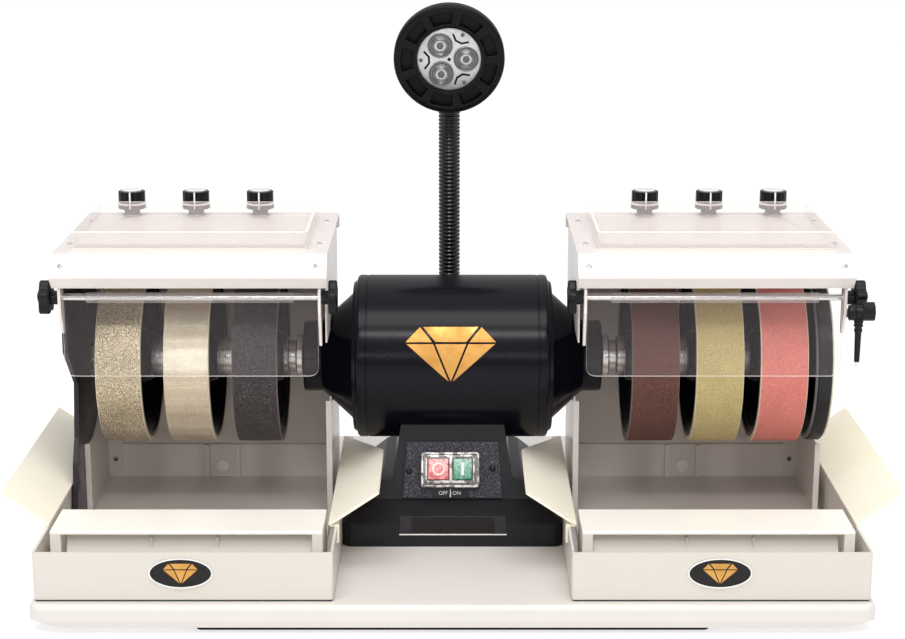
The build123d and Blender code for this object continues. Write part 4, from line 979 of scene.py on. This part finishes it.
# ------------------------------------------------------------------ pan badges and painted shadow strips
def build_badges():
    """Oval plate with a light rim and the cut-stone motif on each pan, and the dark strips that paint the
    shadow under the pan.
    """
    badge_x, badge_up = {"left": -0.218, "right": 0.2145}, 0.0244
    for side in SIDES:
        low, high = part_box(f"splash_pan_{side}")
        body = f"pan_{side}"
        centre = Vector((badge_x[side], low.y, BASE_TOP + badge_up))
        outer, inner = oval(25.7 * MM, 12.8 * MM, 72), oval(24.6 * MM, 11.7 * MM, 72)
        face = frame_matrix(centre, X_AXIS, Z_AXIS)
        behind = face @ Matrix.Translation((0, 0, -0.2 * MM))
        on(prism(f"badge_{side}", outer, behind, 1.0 * MM, M["label"], 0.3 * MM), body, "pan_cream")
        build_shadow_strips(side, low, high)
        ring = frame_ring(f"badge_rim_{side}", outer, inner, face, 1.15 * MM, M["mark"], 0.1 * MM)
        on(ring, body, "pan_cream")

        def on_badge(x, y, out, middle=centre):
            return middle + Vector((x, -0.9 * MM - out, y + 1.5 * MM))

        gem(f"badge_gem_{side}", on_badge, 0.38 * MM, body, 0.86)


def build_shadow_strips(side, low, high):
    """Dark strips in the gap under a pan, along its front and along its wall next to the motor: a painted
    shadow drawn as thin black blocks.
    """
    near, far = sorted((low.x, high.x), key=abs)
    way = 1 if far > 0 else -1
    inset, width = way * 1.2 * MM, 9 * MM
    front = low.y + width
    bottom, top = BASE_TOP + 0.35 * MM, BASE_TOP + 1.55 * MM
    for k, (x0, x1, y0, y1) in enumerate((
        (near + inset, far - inset, low.y + 1.2 * MM, front),
        (near + inset, near + way * width, front, 0.0),
    )):
        # painted shadow: thin black blocks in the gap under the pan
        shadow_strip = block(f"pan_shadow_strip_{side}_{k}", (min(x0, x1), y0, bottom), (max(x0, x1), y1, top), M["rubber"],
                     0.2 * MM)
        on(shadow_strip, f"pan_{side}", "foot_rubber")


# ------------------------------------------------------------------ lamp
def ribbed(name, start, end, body_or_pair, node, joint_z=None):
    """A stretch of gooseneck with rings about 3.6 mm apart on a body; across a joint it stays fixed where it
    is, and the pair of bodies is not used.
    """
    x, y = LAMP_PIN.x, LAMP_PIN.y
    big, small, blend_reach = 10.1 * MM, 9.4 * MM, 28 * MM
    count = max(1, round((end - start) / (3.6 * MM)))
    pitch = (end - start) / count
    ring = ((0, small), (0.12, small + 0.15 * MM), (0.22, big - 0.35 * MM), (0.34, big - 0.1 * MM),
            (0.5, big), (0.66, big - 0.1 * MM), (0.78, big - 0.35 * MM), (0.88, small + 0.15 * MM))
    profile = [(0, 0)]
    for k in range(count):
        profile += [(k * pitch + part * pitch, radius) for part, radius in ring]
    profile += [(end - start, small), (end - start, 0)]
    sleeve = lathe(name, profile, (x, y, start), Z_AXIS, M["neck"], 48, 70)
    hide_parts(node)
    if joint_z is None:
        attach(sleeve, body_or_pair)
    else:
        start, end = (x, y, joint_z - blend_reach), (x, y, joint_z + blend_reach)
        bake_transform(sleeve)


def build_neck():
    """Gooseneck in ribbed stretches, with the stretches over the two neck joints fixed where they are."""
    low = joints["neck_bend_low"]["pos_m"][2]
    high = joints["neck_bend_high"]["pos_m"][2]
    foot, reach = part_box("gooseneck_1")[0].z, 33 * MM
    ribbed("neck_foot", foot, low - reach, "machine", "gooseneck_1")
    ribbed("neck_flex_low", low - reach, low + reach, ("machine", "neck_middle"), "gooseneck_1", low)
    ribbed("neck_middle_ribs", low + reach, high - reach, "neck_middle", "gooseneck_2")
    ribbed("neck_flex_high", high - reach, high + reach, ("neck_middle", "neck_upper"), "gooseneck_2", high)
    ribbed("neck_upper_ribs", high + reach, LAMP_PIN.z - 15 * MM, "neck_upper", "gooseneck_3")
    ferrule = [(-17, 0), (-17, 9.4), (-16, 10.0), (-12.5, 10.0), (-11.5, 9.0), (-11, 4.6), (-5, 4.6), (-5, 0)]
    eye = [(-4.6, 0), (-4.6, 7.4), (-3.8, 8.3), (3.8, 8.3), (4.6, 7.4), (4.6, 0)]
    for name, profile, axis, material in (
        ("neck_ferrule", ferrule, Z_AXIS, "steel"),
        ("neck_eye", eye, X_AXIS, "knob"),
    ):
        end = lathe(name, mm(profile), LAMP_PIN, axis, M[material], 48)
        on(end, "neck_upper", "neck_black", "gooseneck_3")


TILT = radians(10)
HEAD_OUT = Vector((0, -cos(TILT), -sin(TILT)))
HEAD_UP = Vector((0, -sin(TILT), cos(TILT)))
HEAD_BACK, HEAD_DEPTH = 20 * MM, 32 * MM
HEAD_FRONT = LAMP_PIN + HEAD_OUT * (HEAD_BACK + HEAD_DEPTH)


def head_matrix(out=0.0):
    """Local frame on the lamp's face, or out of it by a distance in metres."""
    return frame_matrix(HEAD_FRONT + HEAD_OUT * out, X_AXIS, HEAD_UP)


def head_piece(obj):
    return on(obj, "lamp_head", "lamp_black", "lamp_housing")


def turned_on_head(name, profile, material, segments, x=0.0, up=0.0):
    """A turned piece on the lamp's face, with its profile in millimetres out of the face."""
    place = HEAD_FRONT + Vector((x, 0, 0)) + HEAD_UP * up
    head_piece(lathe(name, mm(profile), place, HEAD_OUT, M[material], segments))


def build_lamp_ring():
    """Black front ring with nine kidney-shaped vents cut into it."""
    steps, vents, vent_level, vent_depth, sharp = 180, 9, 3, 7, 40
    vent_steps = range(3, 17)  # of the twenty steps that each vent and its bar share
    levels = [(29.2, -2.5), (29.6, -1.0), (31.0, -0.4), (33.0, 0.0), (43.4, 0.0), (46.6, 0.0), (47.2, -0.5),
              (48.2, -0.5), (49.6, -1.6), (50.0, -3.4), (50.0, -13.0), (47.6, -14.0), (30.0, -14.0),
              (29.0, -13.0)]
    place = head_matrix()
    verts = []
    for radius, out in mm(levels):
        verts += [place @ Vector((x, y, out)) for x, y in oval(radius, radius, steps)]
    faces, holes = [], []
    for k in range(len(levels)):
        for i in range(steps):
            j, n = (i + 1) % steps, (k + 1) % len(levels)
            if k == vent_level and (i % (steps // vents)) in vent_steps:
                holes.append(len(faces))
            faces.append((k * steps + i, k * steps + j, n * steps + j, n * steps + i))
    ring = piece("lamp_ring", verts, faces, M["lamp"], sharp)
    bm = bmesh.new()
    bm.from_mesh(ring.data)
    bm.faces.ensure_lookup_table()
    covers = [bm.faces[i] for i in holes]
    cut = bmesh.ops.extrude_face_region(bm, geom=covers)
    moved = [v for v in cut["geom"] if isinstance(v, bmesh.types.BMVert)]
    bmesh.ops.translate(bm, verts=moved, vec=-HEAD_OUT * vent_depth * MM)
    bmesh.ops.delete(bm, geom=covers, context="FACES_ONLY")
    bmesh.ops.recalc_face_normals(bm, faces=bm.faces)
    bm.to_mesh(ring.data)
    bm.free()
    ring.data.shade_smooth()
    ring.data.set_sharp_from_angle(angle=radians(sharp))
    head_piece(bevel(ring, 0.8 * MM, 3, 60))


def build_fins():
    """Body of the lamp head and the cooling fins round it."""
    back = [(-HEAD_DEPTH, 0), (-HEAD_DEPTH, 18 * MM)]
    back += mm([(-30, 24), (-26, 29), (-20, 32), (-13, 33), (-13, 0)])
    head_piece(lathe("lamp_body", back, HEAD_FRONT, HEAD_OUT, M["lamp"], 72))
    fin = mm([(26, -24), (30, -25), (38, -20), (45, -14), (45, -12.5), (26, -12.5)])
    count, half_thick = 28, 0.9 * MM
    upright = Matrix(((1, 0, 0, 0), (0, 0, 1, -half_thick), (0, 1, 0, 0), (0, 0, 0, 1)))
    for k in range(count):
        place = head_matrix() @ Matrix.Rotation(tau * k / count, 4, "Z") @ upright
        head_piece(prism(f"lamp_fin_{k}", fin, place, 2 * half_thick, M["lamp"]))


def build_mark(k, angle, face):
    """Dark bent line between two lenses: three bars with overlapping ends."""
    half_wide, overlap = 0.9 * MM, 0.3 * MM
    corners = []
    for radius, turn in ((23.6, -0.34), (18.4, -0.16), (18.4, 0.16), (23.6, 0.34)):
        corners.append(Vector((radius * MM * cos(angle + turn), radius * MM * sin(angle + turn))))
    for j, (start, end) in enumerate(zip(corners[:-1], corners[1:])):
        way = (end - start).normalized()
        off = Vector((-way.y, way.x)) * half_wide
        start, end = start - way * overlap, end + way * overlap
        bar = [start - off, end - off, end + off, start + off]
        head_piece(prism(f"lamp_mark_{k}_{j}", bar, head_matrix(face), 0.3 * MM, M["lamp"]))


LAMP_FACE = {  # what repeats three times on the lamp's face: profile, material and segments
    "cup": ([(-3.0, 10.9), (-2.0, 11.4), (-1.0, 11.4), (-0.8, 10.9), (-1.4, 10.2), (-2.4, 9.8), (-2.8, 0)],
            "ring", 48),
    "lens": ([(-2.7, 9.9), (-1.9, 9.7), (-1.5, 8.8), (-1.9, 8.2), (-1.2, 7.4), (-1.6, 6.8), (-1.0, 6.0),
              (-1.4, 5.2), (-1.4, 0)], "reflector", 48),
    "glow": ([(-1.5, 4.9), (-0.9, 4.9), (-0.7, 4.3), (-1.0, 3.4), (-1.0, 0)], "silver", 36),
    "chip": ([(-1.1, 3.2), (-0.7, 3.2), (-0.5, 2.6), (-0.5, 0)], "chip", 24),
}


def build_lamp_head():
    """Silver plate, three lenses, marks and studs in the black ring, and the tilt ears."""
    build_lamp_ring()
    build_fins()
    plate = [(-6, 0), (-6, 29), (-3.4, 29), (-3.0, 28.4), (-3.0, 0)]
    turned_on_head("lamp_plate", plate, "silver", 72)
    centre = [(-3.1, 0), (-3.1, 1.6), (-2.5, 1.6), (-2.4, 1.2), (-2.4, 0)]
    turned_on_head("lamp_centre", centre, "label", 24)
    stud = [(-3.1, 0), (-3.1, 1.9), (-2.5, 1.8), (-2.3, 1.2), (-2.5, 0.7), (-2.5, 0)]
    lens_circle, stud_circle = 15.3 * MM, 25.6 * MM
    for k, degrees_round in enumerate((122, 2, -118)):
        a = radians(degrees_round)
        for name, (profile, material, segments) in LAMP_FACE.items():
            turned_on_head(f"lamp_{name}_{k}", profile, material, segments, lens_circle * cos(a),
                           lens_circle * sin(a))
        b = a + pi / 3
        build_mark(k, b, -3.1 * MM)
        turned_on_head(f"lamp_stud_{k}", stud, "chip", 20, stud_circle * cos(b), stud_circle * sin(b))
    y, z, thick = LAMP_PIN.y, LAMP_PIN.z, 3.8 * MM
    ear = [(y + 8 * MM * sin(t * pi / 10), z - 8 * MM * cos(t * pi / 10)) for t in range(11)]
    ear += [(y - 21 * MM, z + 5 * MM), (y - 21 * MM, z - 9 * MM)]
    for way in (-1, 1):
        x = LAMP_PIN.x + way * 5.4 * MM
        plane = across(x if way > 0 else x - thick)
        head_piece(prism(f"lamp_ear_{way + 1}", ear, plane, thick, M["knob"], 0.6 * MM))
    pin = [(-11.2, 0), (-11.2, 3.4), (-10.4, 4.2), (-9.3, 4.2), (-9.3, 3), (9.3, 3), (9.3, 4.2), (10.4, 4.2),
           (11.2, 3.4), (11.2, 0)]
    head_piece(lathe("lamp_pin", mm(pin), LAMP_PIN, X_AXIS, M["steel"], 32))


def build_drip_tip():
    """Translucent tip of the drip nozzle."""
    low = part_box("drip_nozzle")[0]
    place = (low.x + 8.4 * MM, joints["drip_swing"]["pos_m"][1], low.z)
    tip = [(0, 0), (0, 1.2), (0.4, 1.7), (3.2, 1.9), (3.6, 0)]
    on(lathe("drip_tip", mm(tip), place, Z_AXIS, M["plug"], 24), "drip_arm", "drip_black")


build_motor()
gem("motor_gem", on_drum, 1.06 * MM, "machine")
build_wheels()
build_spindle()
build_flaps()
build_valves()
build_trays()
build_buttons()
build_words()
build_foot_label()
build_screws()
build_badges()
build_neck()
build_lamp_head()
build_drip_tip()


# ------------------------------------------------------------------ stage
def build_floor():
    """A pale floor that reaches past every view."""
    half = 30
    floor = bpy.data.objects.new("floor", bpy.data.meshes.new("floor"))
    corners = [(x, y, 0) for x, y in rectangle((-half, -half), (half, half))]
    floor.data.from_pydata(corners, [], [(0, 1, 2, 3)])
    bpy.context.scene.collection.objects.link(floor)
    white = Shader("floor white", (0, 0, 0), 0.9)
    white.set(Base_Color=(0.5, 0.5, 0.5, 1), Emission_Color=(1, 1, 1, 1), Emission_Strength=0.56)
    floor.data.materials.append(white.material)


def build_world():
    """White surroundings, dimmer near the horizon."""
    world = bpy.context.scene.world or bpy.data.worlds.new("studio")
    bpy.context.scene.world = world
    world.use_nodes = True
    tree = world.node_tree
    direction = tree.nodes.new("ShaderNodeTexCoord").outputs["Generated"]
    parts = tree.nodes.new("ShaderNodeSeparateXYZ")
    tree.links.new(direction, parts.inputs["Vector"])
    overhead = tree.nodes.new("ShaderNodeMapRange")
    for key, number in (("From Min", 0.0), ("From Max", 0.8), ("To Min", 0.3), ("To Max", 1.0)):
        overhead.inputs[key].default_value = number
    tree.links.new(parts.outputs["Z"], overhead.inputs["Value"])
    background = tree.nodes["Background"]
    background.inputs["Color"].default_value = (1, 1, 1, 1)
    tree.links.new(overhead.outputs["Result"], background.inputs["Strength"])


def build_lights():
    """Soft boxes: name, place, target, width, height and power."""
    for name, place, target, width, height, power in (
        ("key", (0, -2.3, 2.4), (0, 0, 0.15), 1.2, 0.25, 17),
        ("top", (0, -0.9, 2.3), (0, 0, 0.1), 2.4, 0.9, 27),
        ("low", (0, -2.4, 0.8), (0, 0, 0.17), 1.4, 0.04, 3),
        ("left", (-1.5, -2.4, 0.9), (0, 0, 0.2), 0.1, 0.9, 2),
        ("right", (1.5, -2.4, 0.9), (0, 0, 0.2), 0.1, 0.9, 2),
    ):
        light = bpy.data.lights.new(name, "AREA")
        light.shape = "RECTANGLE"
        light.size, light.size_y, light.energy = width, height, power
        obj = bpy.data.objects.new(name, light)
        obj.location = place
        obj.rotation_euler = (Vector(target) - Vector(place)).to_track_quat("-Z", "Y").to_euler()
        bpy.context.scene.collection.objects.link(obj)


def build_camera():
    """Camera straight in front, looking slightly down."""
    down = 13.63
    camera = bpy.data.cameras.new("camera")
    camera.lens = 79.6
    camera.sensor_width = 36
    eye = bpy.data.objects.new("camera", camera)
    eye.location = (0, -1.736, 0.625)
    eye.rotation_euler = (radians(90 - down), 0, 0)
    bpy.context.scene.collection.objects.link(eye)
    bpy.context.scene.camera = eye
    bpy.context.scene.view_settings.view_transform = "Standard"


build_floor()
build_world()
build_lights()
build_camera()
